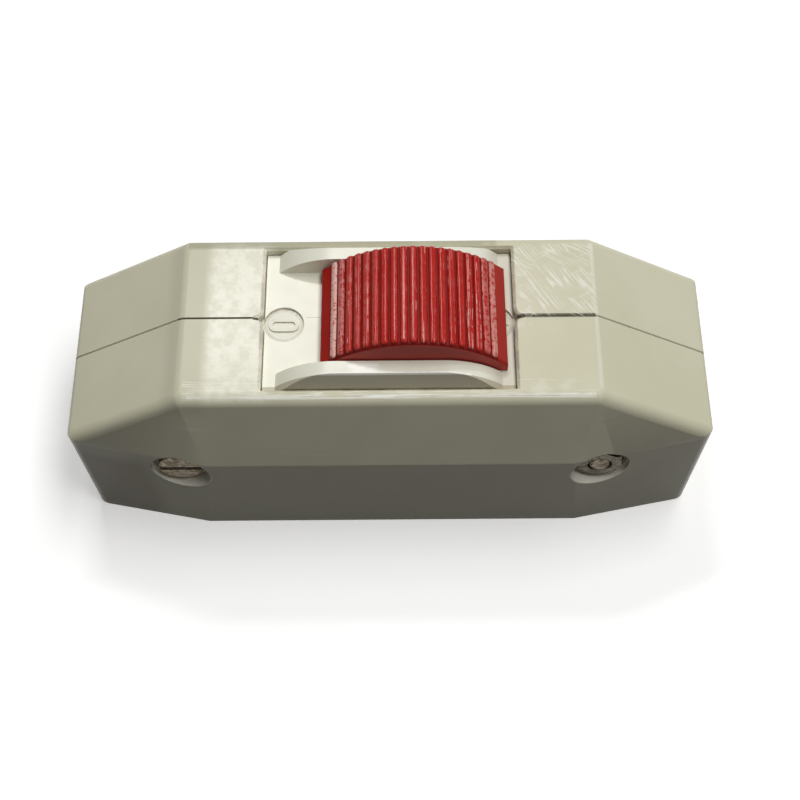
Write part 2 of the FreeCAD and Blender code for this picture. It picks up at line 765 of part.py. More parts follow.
def build():
    """Every piece by its node name."""
    front_shell = shell()
    pieces = {
        "front_shell": front_shell,
        "rear_shell": turned(front_shell),
        "switch_body": switch_body(),
        "module_cover": module_cover(),
        "slider": slider(),
        "contact_carrier": contact_carrier(),
        "detent_spring": detent_spring(),
        "earth_connector": earth_connector(),
        "earth_screws": earth_screws(),
    }
    for row, sy in (("front", -1), ("rear", 1)):
        pieces["contact_bridge_" + row] = contact_bridge(sy)
        pieces["contact_spring_" + row] = contact_spring(sy)
        for end, sx in (("left", -1), ("right", 1)):
            place = row + "_" + end
            pieces["fixed_contact_" + place] = fixed_contact(sx, sy)
            pieces["terminal_block_" + place] = terminal_block(sx, sy)
            pieces["terminal_screw_" + place] = terminal_screw(sx, sy)
    pairs = {"cable_clamp": cable_clamp(), "clamp_screws": clamp_screws(),
             "housing_screw": housing_screw(), "housing_nut": housing_nut()}
    for name, left in pairs.items():
        pieces[name + "_left"] = left
        pieces[name + "_right"] = turned(left)
    return pieces


def write(pieces):
    """Write each piece to parts/NODE.step and print its size."""
    os.makedirs("parts", exist_ok=True)
    for name, piece in pieces.items():
        piece.exportStep("parts/" + name + ".step")
        size = piece.BoundBox
        print("%-28s %d solid(s), %6.1f x %5.1f x %5.1f mm, valid %s"
              % (name, len(piece.Solids), size.XLength, size.YLength, size.ZLength,
                 piece.isValid()))


write(build())
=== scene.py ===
"""Inline cord switch in a plain studio, seen as in the photograph.

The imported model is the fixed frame.  The half shells, the switch module, the
thumb slider, the fasteners and the contact parts are modelled or refined here
around it, each at the origin with its place in its mesh, and every piece gets
a material for what the real one is made of.

Frame: X along the switch, Y across it, Z up, in metres.  Front is -Y.
"""
from __future__ import annotations

import logging
import math
from contextlib import contextmanager
from dataclasses import dataclass, field
from enum import Enum
from typing import Callable, Iterable, Iterator, Mapping, Sequence

import bmesh
import bpy
from mathutils import Matrix, Vector

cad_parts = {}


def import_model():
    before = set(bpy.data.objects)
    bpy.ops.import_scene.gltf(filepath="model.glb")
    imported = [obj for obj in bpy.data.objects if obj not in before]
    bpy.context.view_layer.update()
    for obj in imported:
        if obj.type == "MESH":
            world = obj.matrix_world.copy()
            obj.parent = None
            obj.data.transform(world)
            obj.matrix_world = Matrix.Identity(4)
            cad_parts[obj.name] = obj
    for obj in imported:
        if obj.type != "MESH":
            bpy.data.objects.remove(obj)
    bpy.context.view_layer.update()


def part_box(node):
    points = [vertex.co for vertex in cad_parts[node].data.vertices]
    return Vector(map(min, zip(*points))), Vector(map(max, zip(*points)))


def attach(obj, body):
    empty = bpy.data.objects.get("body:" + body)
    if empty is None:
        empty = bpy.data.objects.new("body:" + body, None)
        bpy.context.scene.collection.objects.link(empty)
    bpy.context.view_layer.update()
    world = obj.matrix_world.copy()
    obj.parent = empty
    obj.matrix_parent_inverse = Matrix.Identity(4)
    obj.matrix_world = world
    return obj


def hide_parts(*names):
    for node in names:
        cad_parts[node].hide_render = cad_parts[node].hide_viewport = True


log = logging.getLogger("cord_switch")

MM = 0.001
Socket = bpy.types.NodeSocket
Span = tuple[float, float]


class Axis(Enum):
    """A direction of the switch's frame."""

    X = 0
    Y = 1
    Z = 2

    @property
    def vector(self) -> Vector:
        """Unit vector along the axis."""
        return Vector([1.0 if self.value == place else 0.0 for place in range(3)])


class Half(Enum):
    """One of two opposite places, with its sign along an axis."""

    @property
    def word(self) -> str:
        """Lower-case word used in node and piece names."""
        return self.name.lower()


class Side(Half):
    """End of the switch, with its sign along X."""

    LEFT = -1
    RIGHT = 1


class Row(Half):
    """Front or rear half of the switch and its pole, with its sign along Y."""

    FRONT = -1
    REAR = 1


class Merge(Enum):
    """Ways to combine one solid with another, with Blender's names."""

    JOIN = "UNION"
    CUT = "DIFFERENCE"
    OVERLAP = "INTERSECT"


# Colours and nodes.

# Numbers of the Mix node's inputs and output when it mixes colours.
MIX_FACTOR, MIX_FIRST, MIX_SECOND, MIX_RESULT = 0, 6, 7, 2


def linear(hex_code: str) -> tuple[float, float, float, float]:
    """Turn an sRGB hex colour to linear RGBA.

    Args:
        hex_code: Colour as "#RRGGBB".

    Returns:
        Linear red, green and blue with alpha 1.
    """
    values = [int(hex_code[place:place + 2], 16) / 255 for place in (1, 3, 5)]
    red, green, blue = [v / 12.92 if v <= 0.04045 else ((v + 0.055) / 1.055) ** 2.4
                        for v in values]
    return red, green, blue, 1.0


def add_node(tree: bpy.types.NodeTree, kind: str,
             settings: Mapping[str | int, object] | None = None,
             links: Mapping[str | int, Socket] | None = None) -> bpy.types.Node:
    """Add one node, set it and wire its inputs.

    Args:
        tree: Node tree that gets the node.
        kind: Node type without the ShaderNode prefix.
        settings: Node attributes by name, or input defaults by name or number.
        links: Output sockets by the name or number of the input they feed.

    Returns:
        The new node.
    """
    node = tree.nodes.new("ShaderNode" + kind)
    for name, value in (settings or {}).items():
        if isinstance(name, str) and hasattr(node, name):
            setattr(node, name, value)
        else:
            node.inputs[name].default_value = value
    for name, source in (links or {}).items():
        tree.links.new(source, node.inputs[name])
    return node


def blended(tree: bpy.types.NodeTree, factor: Socket | float, first: Socket | tuple,
            second: Socket | tuple) -> Socket:
    """Mix two colours.

    Args:
        tree: Node tree of the material.
        factor: Share of the second colour.
        first: Colour or socket at factor 0.
        second: Colour or socket at factor 1.

    Returns:
        The mixed colour.
    """
    settings: dict[str | int, object] = {"data_type": "RGBA"}
    links: dict[str | int, Socket] = {}
    for place, value in ((MIX_FACTOR, factor), (MIX_FIRST, first), (MIX_SECOND, second)):
        target = links if isinstance(value, Socket) else settings
        target[place] = value
    return add_node(tree, "Mix", settings, links).outputs[MIX_RESULT]


def worked(tree: bpy.types.NodeTree, operation: str, *values: Socket | float,
           clamp: bool = False) -> Socket:
    """Result of one math operation on sockets or numbers.

    Args:
        tree: Node tree of the material.
        operation: Name of the math operation.
        values: Its inputs in order.
        clamp: Whether the result is kept between 0 and 1.

    Returns:
        The result.
    """
    settings: dict[str | int, object] = {"operation": operation, "use_clamp": clamp}
    links: dict[str | int, Socket] = {}
    for place, value in enumerate(values):
        target = links if isinstance(value, Socket) else settings
        target[place] = value
    return add_node(tree, "Math", settings, links).outputs[0]


def ramped(tree: bpy.types.NodeTree, value: Socket, low: float, high: float,
           start: float = 0.0, end: float = 1.0) -> Socket:
    """Smooth step of a value between two limits.

    Args:
        tree: Node tree of the material.
        value: Value to map.
        low: Value that gives start.
        high: Value that gives end.
        start: Result at and below low.
        end: Result at and above high.

    Returns:
        The mapped value.
    """
    return add_node(tree, "MapRange",
                    {"interpolation_type": "SMOOTHSTEP", 1: low, 2: high, 3: start, 4: end},
                    {0: value}).outputs[0]


# Finishes.

# Fourth noise coordinates, set apart so that no two patterns of a finish are alike.
UNEVEN_SEED = 3.0
MARK_SEED = 11.0
RIPPLE_SEED = 19.0
LINE_SET_SEED = 31.0
LINE_SET_SEED_STEP = 5
LINE_SEED = 3.0  # added for the course of a set of bright lines
GAP_SEED = 7.0  # added for the gaps in it

NOISE_ROUGHNESS = 0.55
CLOUD_LIMITS = (0.35, 0.65)  # noise over which the clouds come up
PATCH_BORDER = 0.12  # noise on either side of a patch's edge
GAP_BORDER = 0.08  # noise on either side of a break in a scratch
BEND_SIZE = 6.0  # millimetres over which a bright line bends
LINE_CORE = 0.3  # share of a bright line's half width that shows in full
LINE_DULLING = 0.2  # roughness that a full bright line adds, scratch mark and painted glint alike


@dataclass(frozen=True)
class Zone:
    """Part of a surface, by limits in millimetres of the switch's frame.

    Each limit that is given narrows the zone.

    Attributes:
        x: Limits along the switch, from left to right.
        y: Limits across it, from front to rear.
        z: Limits of height.
        reach: Limits of the distance from a line through the hub.
        hub: Point on that line.
        along: Direction of that line.
        fade: Width of the soft border outside each limit.
        mirrored: Whether the left half takes its mask from the right half.
    """

    x: Span | None = None
    y: Span | None = None
    z: Span | None = None
    reach: Span | None = None
    hub: tuple[float, float, float] = (0.0, 0.0, 0.0)
    along: Axis = Axis.Y
    fade: float = 0.3
    mirrored: bool = False

    def mask(self, tree: bpy.types.NodeTree, place: Socket) -> Socket:
        """Socket that is 1 inside the zone and 0 outside.

        Args:
            tree: Node tree of the material.
            place: Object coordinates in millimetres.

        Returns:
            The mask.
        """
        split = add_node(tree, "SeparateXYZ", {}, {0: place})
        places = list(split.outputs)
        if self.mirrored:
            places[0] = worked(tree, "ABSOLUTE", places[0])
        limits = list(zip(places, (self.x, self.y, self.z)))
        if self.reach:
            limits.append((self.distance(tree, places), self.reach))
        result: Socket | None = None
        for value, span in limits:
            if span is None:
                continue
            low, high = span
            inside = worked(tree, "MULTIPLY",
                            ramped(tree, value, low - self.fade, low),
                            ramped(tree, value, high, high + self.fade, 1.0, 0.0))
            result = inside if result is None else worked(tree, "MULTIPLY", result, inside)
        if result is None:
            raise ValueError("a zone needs at least one limit")
        return result

    def distance(self, tree: bpy.types.NodeTree, places: Sequence[Socket]) -> Socket:
        """Distance from the line through the hub.

        Args:
            tree: Node tree of the material.
            places: The three coordinates in millimetres.

        Returns:
            The distance in millimetres.
        """
        across = {axis.value: places[axis.value] for axis in Axis if axis is not self.along}
        flat = add_node(tree, "CombineXYZ", {}, across).outputs[0]
        hub = [0.0 if axis is self.along else self.hub[axis.value] for axis in Axis]
        away = add_node(tree, "VectorMath", {"operation": "DISTANCE", 1: hub}, {0: flat})
        return away.outputs["Value"]


@dataclass(frozen=True)
class Mark:
    """Dirt, wear, a stain, painted light or painted shade in one zone of a surface.

    Attributes:
        zone: Where it is.
        colour: Its sRGB colour.
        amount: How much of it shows, 0 to 1.
        patch: Size of its patches in millimetres, 0 for an even one.
        cover: Share of the zone that patches fill.
        roughness: Roughness that it brings, or None to leave it.
    """

    zone: Zone
    colour: str
    amount: float
    patch: float = 0.0
    cover: float = 0.5
    roughness: float | None = None


@dataclass(frozen=True)
class Scratches:
    """Fine bright lines in one zone of a surface, used for scratch marks and for painted
    highlight lines.

    Attributes:
        zone: Where they are.
        colour: Their sRGB colour.
        amount: How much they show.
        spacing: Distance between lines in millimetres.
        length: Length over which a line keeps its course, in millimetres.
        turn: Main direction in degrees from X.
        curl: How far they wander sideways in millimetres.
        width: Half width of a line, as a share of the spacing.
        broken: Size of the gaps that break the lines, in millimetres.
        cover: Share of the zone that has lines.
        upright: Whether the face stands, so that lines lie above each other.
    """

    zone: Zone
    colour: str
    amount: float
    spacing: float
    length: float = 20.0
    turn: float = 0.0
    curl: float = 1.0
    width: float = 0.04
    broken: float = 4.0
    cover: float = 0.5
    upright: bool = False


@dataclass(frozen=True)
class Surface:
    """A finish built from one Principled shader and layers of real-size pattern.

    Attributes:
        name: Plain name of the material and how it was made.
        colour: sRGB colour of the clean surface.
        second: sRGB colour of its faint clouds.
        clouds: Size of the clouds in millimetres.
        clouding: How much the second colour shows.
        roughness: Roughness of the clean surface.
        uneven: How much the roughness wanders.
        metal: 1 for a bare metal.
        refraction: Index of refraction of a plastic.
        shine: Level of a plastic's reflection, 0.5 for a clean skin.
        grain: Size of the surface's ripple in millimetres.
        relief: Height of the ripple in millimetres.
        marks: Dirt, wear, painted light and painted shade, laid on in order.
        scratches: Sets of fine lines, scratch marks and painted highlight lines, laid on last.
    """

    name: str
    colour: str
    second: str
    clouds: float = 12.0
    clouding: float = 0.5
    roughness: float = 0.35
    uneven: float = 0.05
    metal: float = 0.0
    refraction: float = 1.5
    shine: float = 0.5
    grain: float = 0.8
    relief: float = 0.002
    marks: tuple[Mark, ...] = ()
    scratches: tuple[Scratches, ...] = ()

    def noise(self, tree: bpy.types.NodeTree, place: Socket, size: float,
              detail: float = 3.0, offset: float = 0.0) -> Socket:
        """Noise with patches of a real size.

        Args:
            tree: Node tree of the material.
            place: Object coordinates in millimetres.
            size: Patch size in millimetres.
            detail: Octaves of finer noise.
            offset: Fourth coordinate, so that two noises differ.

        Returns:
            Noise from 0 to 1.
        """
        return add_node(tree, "TexNoise",
                        {"noise_dimensions": "4D", "W": offset, "Scale": 1.0 / size,
                         "Detail": detail, "Roughness": NOISE_ROUGHNESS},
                        {"Vector": place}).outputs[0]

    def lines(self, tree: bpy.types.NodeTree, place: Socket, lot: Scratches,
              offset: float) -> Socket:
        """Mask of fine wandering lines.

        Args:
            tree: Node tree of the material.
            place: Object coordinates in millimetres.
            lot: The set of lines to draw.
            offset: Keeps two lots apart.

        Returns:
            1 on a line and 0 beside it.
        """
        wander = worked(tree, "MULTIPLY_ADD", self.noise(tree, place, BEND_SIZE, 2.0, offset),
                        2 * lot.curl, -lot.curl)
        bent = add_node(tree, "CombineXYZ", {}, {1: wander, 2: wander})
        moved = add_node(tree, "VectorMath", {"operation": "ADD"},
                         {0: place, 1: bent.outputs[0]}).outputs[0]
        turned = add_node(tree, "Mapping",
                          {"vector_type": "TEXTURE",
                           "Rotation": (0.0, 0.0, math.radians(lot.turn))},
                          {"Vector": moved}).outputs[0]
        near, far = 1.0 / lot.spacing, 1.0 / lot.length
        stretch = (far, far, near) if lot.upright else (far, near, far)
        laid = add_node(tree, "VectorMath", {"operation": "MULTIPLY", 1: stretch},
                        {0: turned}).outputs[0]
        height = self.noise(tree, laid, 1.0, 0.0, offset + LINE_SEED)
        level = worked(tree, "ABSOLUTE", worked(tree, "SUBTRACT", height, 0.5))
        line = ramped(tree, level, LINE_CORE * lot.width, lot.width, 1.0, 0.0)
        edge = 1.0 - lot.cover
        broken = ramped(tree, self.noise(tree, place, lot.broken, 2.0, offset + GAP_SEED),
                        edge - GAP_BORDER, edge + GAP_BORDER)
        return worked(tree, "MULTIPLY", worked(tree, "MULTIPLY", line, broken), lot.amount)

    def clean(self, tree: bpy.types.NodeTree, place: Socket) -> tuple[Socket, Socket]:
        """Colour and roughness of the clean surface.

        Args:
            tree: Node tree of the material.
            place: Object coordinates in millimetres.

        Returns:
            The colour and the roughness.
        """
        cloud = ramped(tree, self.noise(tree, place, self.clouds), *CLOUD_LIMITS)
        colour = blended(tree, worked(tree, "MULTIPLY", cloud, self.clouding),
                         linear(self.colour), linear(self.second))
        patches = self.noise(tree, place, self.clouds / 4, 4.0, UNEVEN_SEED)
        rough = worked(tree, "MULTIPLY_ADD", patches, 2 * self.uneven,
                       self.roughness - self.uneven)
        return colour, rough

    def marked(self, tree: bpy.types.NodeTree, place: Socket, colour: Socket,
               rough: Socket) -> tuple[Socket, Socket]:
        """Lay the marks on, each over the ones before it.

        Args:
            tree: Node tree of the material.
            place: Object coordinates in millimetres.
            colour: Colour under the marks.
            rough: Roughness under the marks.

        Returns:
            The colour and the roughness with the marks on.
        """
        for number, mark in enumerate(self.marks):
            share = mark.zone.mask(tree, place)
            if mark.patch:
                patches = self.noise(tree, place, mark.patch, 4.0, MARK_SEED + number)
                edge = 1.0 - mark.cover
                share = worked(tree, "MULTIPLY", share,
                               ramped(tree, patches, edge - PATCH_BORDER, edge + PATCH_BORDER))
            share = worked(tree, "MULTIPLY", share, mark.amount)
            colour = blended(tree, share, colour, linear(mark.colour))
            if mark.roughness is not None:
                rough = add_node(tree, "Mix", {"data_type": "FLOAT", 3: mark.roughness},
                                 {0: share, 2: rough}).outputs[0]
        return colour, rough

    def scratched(self, tree: bpy.types.NodeTree, place: Socket, colour: Socket,
                  rough: Socket) -> tuple[Socket, Socket]:
        """Draw the scratch marks and the painted highlight lines over the marks.

        Args:
            tree: Node tree of the material.
            place: Object coordinates in millimetres.
            colour: Colour under the lines.
            rough: Roughness under the lines.

        Returns:
            The colour and the roughness with the lines on.
        """
        for number, lot in enumerate(self.scratches):
            offset = LINE_SET_SEED + LINE_SET_SEED_STEP * number
            share = worked(tree, "MULTIPLY", lot.zone.mask(tree, place),
                           self.lines(tree, place, lot, offset))
            colour = blended(tree, share, colour, linear(lot.colour))
            rough = worked(tree, "MULTIPLY_ADD", share, LINE_DULLING, rough)
        return colour, rough

    def material(self) -> bpy.types.Material:
        """Build the node tree.

        Returns:
            The finished material.
        """
        result = bpy.data.materials.new(self.name)
        result.use_nodes = True
        tree = result.node_tree
        tree.nodes.clear()
        shader = add_node(tree, "BsdfPrincipled", {"Metallic": self.metal})
        if not self.metal:
            shader.inputs["IOR"].default_value = self.refraction
            shader.inputs["Specular IOR Level"].default_value = self.shine
        add_node(tree, "OutputMaterial", {}, {"Surface": shader.outputs[0]})
        metres = add_node(tree, "TexCoord").outputs["Object"]
        place = add_node(tree, "VectorMath", {"operation": "SCALE", "Scale": 1.0 / MM},
                         {0: metres}).outputs[0]
        colour, rough = self.clean(tree, place)
        colour, rough = self.marked(tree, place, colour, rough)
        colour, rough = self.scratched(tree, place, colour, rough)
        ripple = self.noise(tree, place, self.grain, 2.0, RIPPLE_SEED)
        bump = add_node(tree, "Bump", {"Strength": 1.0, "Distance": self.relief * MM},
                        {"Height": ripple})
        tree.links.new(colour, shader.inputs["Base Color"])
        tree.links.new(rough, shader.inputs["Roughness"])
        tree.links.new(bump.outputs[0], shader.inputs["Normal"])
        return result


# Bench: the few operations that the pieces are made with.

NEAR = 0.02 * MM  # places closer than this are the same
FACING = 0.9  # least part of a face's normal along the axis that it looks along
CUT_SLACK = 0.0001 * MM  # corners closer than this to a cutting plane lie on it
CAD_WELD = 0.0008 * MM  # corners of a CAD mesh closer than this are one
SEAM_WELD = 0.001 * MM  # the same for a wound mesh
FLAT_ANGLE = 0.4  # degrees up to which neighbouring CAD triangles are one face
FLAT_WEIGHT = 60  # how strongly the large faces set the shading at their edges
OVERSHOOT = 1.0 * MM  # how far a cutting tool sticks out


@contextmanager
def editing(obj: bpy.types.Object) -> Iterator[None]:
    """Open one object alone in edit mode, with nothing selected, and close it again.

    Args:
        obj: Mesh object to edit.

    Yields:
        Nothing, while the object is open.
    """
    alone(obj)
    bpy.ops.object.mode_set(mode="EDIT")
    bpy.ops.mesh.select_mode(type="VERT")
    bpy.ops.mesh.select_all(action="DESELECT")
    yield
    bpy.ops.object.mode_set(mode="OBJECT")


def alone(obj: bpy.types.Object) -> None:
    """Make one object the only selected and the active one.

    Args:
        obj: The object.
    """
    bpy.ops.object.select_all(action="DESELECT")
    obj.select_set(True)
    bpy.context.view_layer.objects.active = obj


def pick(obj: bpy.types.Object, faces: Callable[[bmesh.types.BMFace], bool] | None = None,
         edges: Callable[[bmesh.types.BMEdge], bool] | None = None) -> None:
    """Select faces or edges of the object in edit mode, and nothing else.

    Args:
        obj: Object in edit mode.
        faces: Test that a wanted face passes.
        edges: Test that a wanted edge passes, used where no faces are wanted.
    """
    bpy.ops.mesh.select_mode(type="FACE" if faces else "EDGE")
    bpy.ops.mesh.select_all(action="DESELECT")
    mesh = bmesh.from_edit_mesh(obj.data)
    test = faces or edges
    for item in [item for item in (mesh.faces if faces else mesh.edges) if test(item)]:
        item.select_set(True)
    mesh.select_flush_mode()
    bmesh.update_edit_mesh(obj.data)


def middle(edge: bmesh.types.BMEdge) -> Vector:
    """Middle of an edge."""
    return (edge.verts[0].co + edge.verts[1].co) / 2


def rounded(obj: bpy.types.Object, radius: float, segments: int,
            wanted: Callable[[bmesh.types.BMEdge], bool]) -> None:
    """Round some edges of the object in edit mode.

    Args:
        obj: Object in edit mode.
        radius: Width of the rounding in metres.
        segments: Strips in the rounding, 1 for a flat bevel.
        wanted: Test that an edge to round passes.
    """
    pick(obj, edges=wanted)
    bpy.ops.mesh.bevel(offset=radius, segments=segments, affect="EDGES")


def named(obj: bpy.types.Object, name: str) -> bpy.types.Object:
    """Give the object and its mesh one name.

    Args:
        obj: Object to name.
        name: Its new name.

    Returns:
        The same object.
    """
    obj.name = name
    obj.data.name = name
    return obj


def block(name: str, low: Sequence[float], high: Sequence[float]) -> bpy.types.Object:
    """Box between two corners.

    Args:
        name: Name of the object.
        low: Lowest corner in metres.
        high: Highest corner in metres.

    Returns:
        The new object, with its place in its mesh.
    """
    low, high = Vector(low), Vector(high)
    bpy.ops.object.select_all(action="DESELECT")
    bpy.ops.mesh.primitive_cube_add(size=1.0, location=(low + high) / 2, scale=high - low)
    obj = bpy.context.object
    settled(obj)
    return named(obj, name)


def round_bar(name: str, radius: float, start: Vector, axis: Axis, length: float,
              sides: int = 64) -> bpy.types.Object:
    """Cylinder or prism from a point along an axis.

    Args:
        name: Name of the object.
        radius: Radius of its corners in metres.
        start: Middle of the first end.
        axis: Axis that it lies along.
        length: Length, negative to go the other way.
        sides: Number of sides.

    Returns:
        The new object, with its place in its mesh.
    """
    turn = {Axis.X: (0.0, math.pi / 2, 0.0), Axis.Y: (math.pi / 2, 0.0, 0.0),
            Axis.Z: (0.0, 0.0, 0.0)}[axis]
    bpy.ops.object.select_all(action="DESELECT")
    bpy.ops.mesh.primitive_cylinder_add(vertices=sides, radius=radius, depth=abs(length),
                                        location=start + axis.vector * length / 2,
                                        rotation=turn)
    obj = bpy.context.object
    settled(obj)
    return named(obj, name)


def settled(obj: bpy.types.Object) -> None:
    """Put the object's place, turn and scale into its mesh."""
    alone(obj)
    bpy.ops.object.transform_apply(location=True, rotation=True, scale=True)


def turned_copy(obj: bpy.types.Object, angle: float, axis: Axis,
                hub: Vector | None = None) -> bpy.types.Object:
    """Copy of an object with its mesh turned about an axis.

    Args:
        obj: Object to copy.
        angle: Turn in radians.
        axis: Direction of the axis.
        hub: Point on the axis, or None for the origin.

    Returns:
        The copy.
    """
    point = Vector((0.0, 0.0, 0.0)) if hub is None else hub
    copy = obj.copy()
    copy.data = obj.data.copy()
    copy.data.transform(Matrix.Translation(point) @ Matrix.Rotation(angle, 4, axis.name)
                        @ Matrix.Translation(-point))
    bpy.context.scene.collection.objects.link(copy)
    return copy


def applied(obj: bpy.types.Object, kind: str, **settings: object) -> None:
    """Add a modifier and apply it.

    Args:
        obj: Object that gets it.
        kind: Blender's modifier type.
        **settings: Values of the modifier.
    """
    alone(obj)
    modifier = obj.modifiers.new(kind.lower(), kind)
    for name, value in settings.items():
        setattr(modifier, name, value)
    bpy.ops.object.modifier_apply(modifier=modifier.name)


def combined(target: bpy.types.Object, tools: Iterable[bpy.types.Object], way: Merge) -> None:
    """Combine an object with others, which are then removed.

    Args:
        target: Object that is changed.
        tools: Objects that it is combined with, one after the other.
        way: How it is combined with each.
    """
    for tool in tools:
        applied(target, "BOOLEAN", object=tool, operation=way.value, solver="EXACT")
        bpy.data.objects.remove(tool, do_unlink=True)


def softened(obj: bpy.types.Object, width: float, segments: int = 2,
             limit: float = 30.0) -> None:
    """Round all edges sharper than a limit.

    Args:
        obj: Object to round.
        width: Width of the rounding in metres.
        segments: Strips in the rounding.
        limit: Least angle of an edge in degrees.
    """
    applied(obj, "BEVEL", width=width, segments=segments, limit_method="ANGLE",
            angle_limit=math.radians(limit), miter_outer="MITER_ARC", use_clamp_overlap=True)


def smoothed(obj: bpy.types.Object, angle: float = 35.0) -> None:
    """Shade smooth across edges flatter than an angle in degrees."""
    alone(obj)
    bpy.ops.object.shade_smooth_by_angle(angle=math.radians(angle))


def weighted(obj: bpy.types.Object, angle: float = 35.0) -> None:
    """Shade smooth, with normals that keep the large faces flat."""
    smoothed(obj, angle)
    applied(obj, "WEIGHTED_NORMAL", keep_sharp=True, weight=FLAT_WEIGHT)


def closed(obj: bpy.types.Object) -> None:
    """Merge doubles, cap the open ends and turn all faces outwards.

    Args:
        obj: Object to close.
    """
    with editing(obj):
        bpy.ops.mesh.select_all(action="SELECT")
        bpy.ops.mesh.remove_doubles(threshold=SEAM_WELD)
        bpy.ops.mesh.select_all(action="SELECT")
        bpy.ops.mesh.fill_holes(sides=0)
        bpy.ops.mesh.select_all(action="SELECT")
        bpy.ops.mesh.normals_make_consistent(inside=False)


def refined(node: str, name: str, width: float, limit: float = 17.0) -> bpy.types.Object:
    """Copy of a CAD node with whole faces, tiny rounded edges and smooth shading.

    Args:
        node: Name of the CAD node.
        name: Name of the copy.
        width: Width of the edge rounding in metres.
        limit: Least angle of a rounded edge in degrees.

    Returns:
        The copy.
    """
    source = bpy.data.objects[node]
    bpy.ops.object.select_all(action="DESELECT")
    obj = bpy.data.objects.new(name, source.data.copy())
    bpy.context.scene.collection.objects.link(obj)
    obj.data.name = name
    obj.data.materials.clear()
    with editing(obj):
        bpy.ops.mesh.select_all(action="SELECT")
        bpy.ops.mesh.remove_doubles(threshold=CAD_WELD)
        bpy.ops.mesh.dissolve_limited(angle_limit=math.radians(FLAT_ANGLE))
    if obj.data.has_custom_normals:
        alone(obj)
        bpy.ops.mesh.customdata_custom_splitnormals_clear()
    softened(obj, width, limit=limit)
    weighted(obj)
    return obj


@dataclass
class Dresser:
    """Gives each piece its body and the material of its slot, and hides the nodes it stands for.

    Attributes:
        finishes: Finish of each material slot.
        made: Materials built so far, by slot.
    """

    finishes: Mapping[str, Surface]
    made: dict[str, bpy.types.Material] = field(default_factory=dict)

    def material(self, slot: str) -> bpy.types.Material:
        """Material of a slot, built once.

        Args:
            slot: Material slot of the record.

        Returns:
            Its material.
        """
        if slot not in self.made:
            self.made[slot] = self.finishes[slot].material()
        return self.made[slot]

    def dress(self, obj: bpy.types.Object, slot: str, body: str, *nodes: str) -> None:
        """Give a new piece its material, attach it to its body and hide the nodes it stands for.

        Args:
            obj: Finished piece.
            slot: Material slot of the record.
            body: Body that it rides on.
            *nodes: CAD nodes that it stands for.
        """
        obj.data.materials.clear()
        obj.data.materials.append(self.material(slot))
        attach(obj, body)
        if nodes:
            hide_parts(*nodes)
        log.info("%s: %d faces on %s", obj.name, len(obj.data.polygons), body)

    def keep(self, node: str, slot: str) -> None:
        """Give a CAD node that stays its material.

        Args:
            node: Name of the node.
            slot: Material slot of the record.
        """
        obj = bpy.data.objects[node]
        if not obj.material_slots:
            obj.data.materials.append(None)
        for place in obj.material_slots:
            place.material = self.material(slot)
        log.info("%s: CAD solid, %s", node, slot)


# Finishes of this switch.

ALL_OVER = Zone(z=(-10.0, 40.0))

# The cream half shells, with their screw recesses about this axis.
SCREW_AXIS = (29.6, 0.0, 15.8)
TOP_RIGHT_REAR = Zone(x=(17.4, 28.2), y=(0.3, 11.5), z=(30.6, 40.0), fade=0.8)
TOP_FRONT = Zone(x=(-27.5, 27.5), y=(-12.6, -10.2), z=(30.8, 40.0), fade=0.5)
TOP_LEFT_GLARE = Zone(x=(-23.8, -17.2), y=(-11.6, 11.4), z=(30.6, 40.0), fade=2.0)
LEFT_BEND_SHADE = Zone(x=(-29.5, -26.0), z=(29.5, 40.0), fade=2.0)
SEAM = Zone(y=(-0.10, 0.10), z=(10.0, 40.0), fade=0.08)
SEAM_LEFT = Zone(x=(-29.0, -17.0), y=(-0.12, 0.12), z=(30.0, 40.0), fade=0.07)
SEAM_RIGHT = Zone(x=(16.8, 28.4), y=(-0.22, 0.30), z=(30.0, 40.0), fade=0.12)
WINDOW_EDGE = Zone(x=(-17.6, 17.6), y=(-11.6, 11.6), z=(28.0, 40.0), fade=0.2)
WINDOW_CORNERS = Zone(x=(17.2, 19.2), y=(-1.8, 1.8), z=(30.0, 40.0), fade=0.8, mirrored=True)
FRONT_EDGE_HIGHLIGHT = Zone(x=(-27.0, 27.6), y=(-12.55, -12.25), z=(30.3, 40.0), fade=0.2)
RIGHT_BEND_HIGHLIGHT = Zone(x=(28.35, 28.75), y=(-11.5, 12.0), z=(30.0, 40.0), fade=0.15)
REAR_EDGE = Zone(x=(-28.0, 15.0), y=(11.75, 13.3), z=(29.5, 40.0), fade=0.5)
LEFT_FOOT = Zone(x=(-46.0, -36.0), y=(-20.0, -4.0), z=(-1.0, 15.0), fade=4.0)
LOWER_HALF = Zone(z=(-1.0, 18.8), fade=0.8)
FRONT_FACES = Zone(y=(-20.0, -12.8), z=(19.0, 30.0), fade=0.5)
RECESS_FLOORS = Zone(y=(-14.6, 14.6), reach=(0.0, 4.0), hub=SCREW_AXIS, fade=0.25,
                     mirrored=True)
LIT_RECESS_WALLS = Zone(z=(5.0, 15.6), reach=(4.05, 4.3), hub=SCREW_AXIS, fade=0.1, mirrored=True)

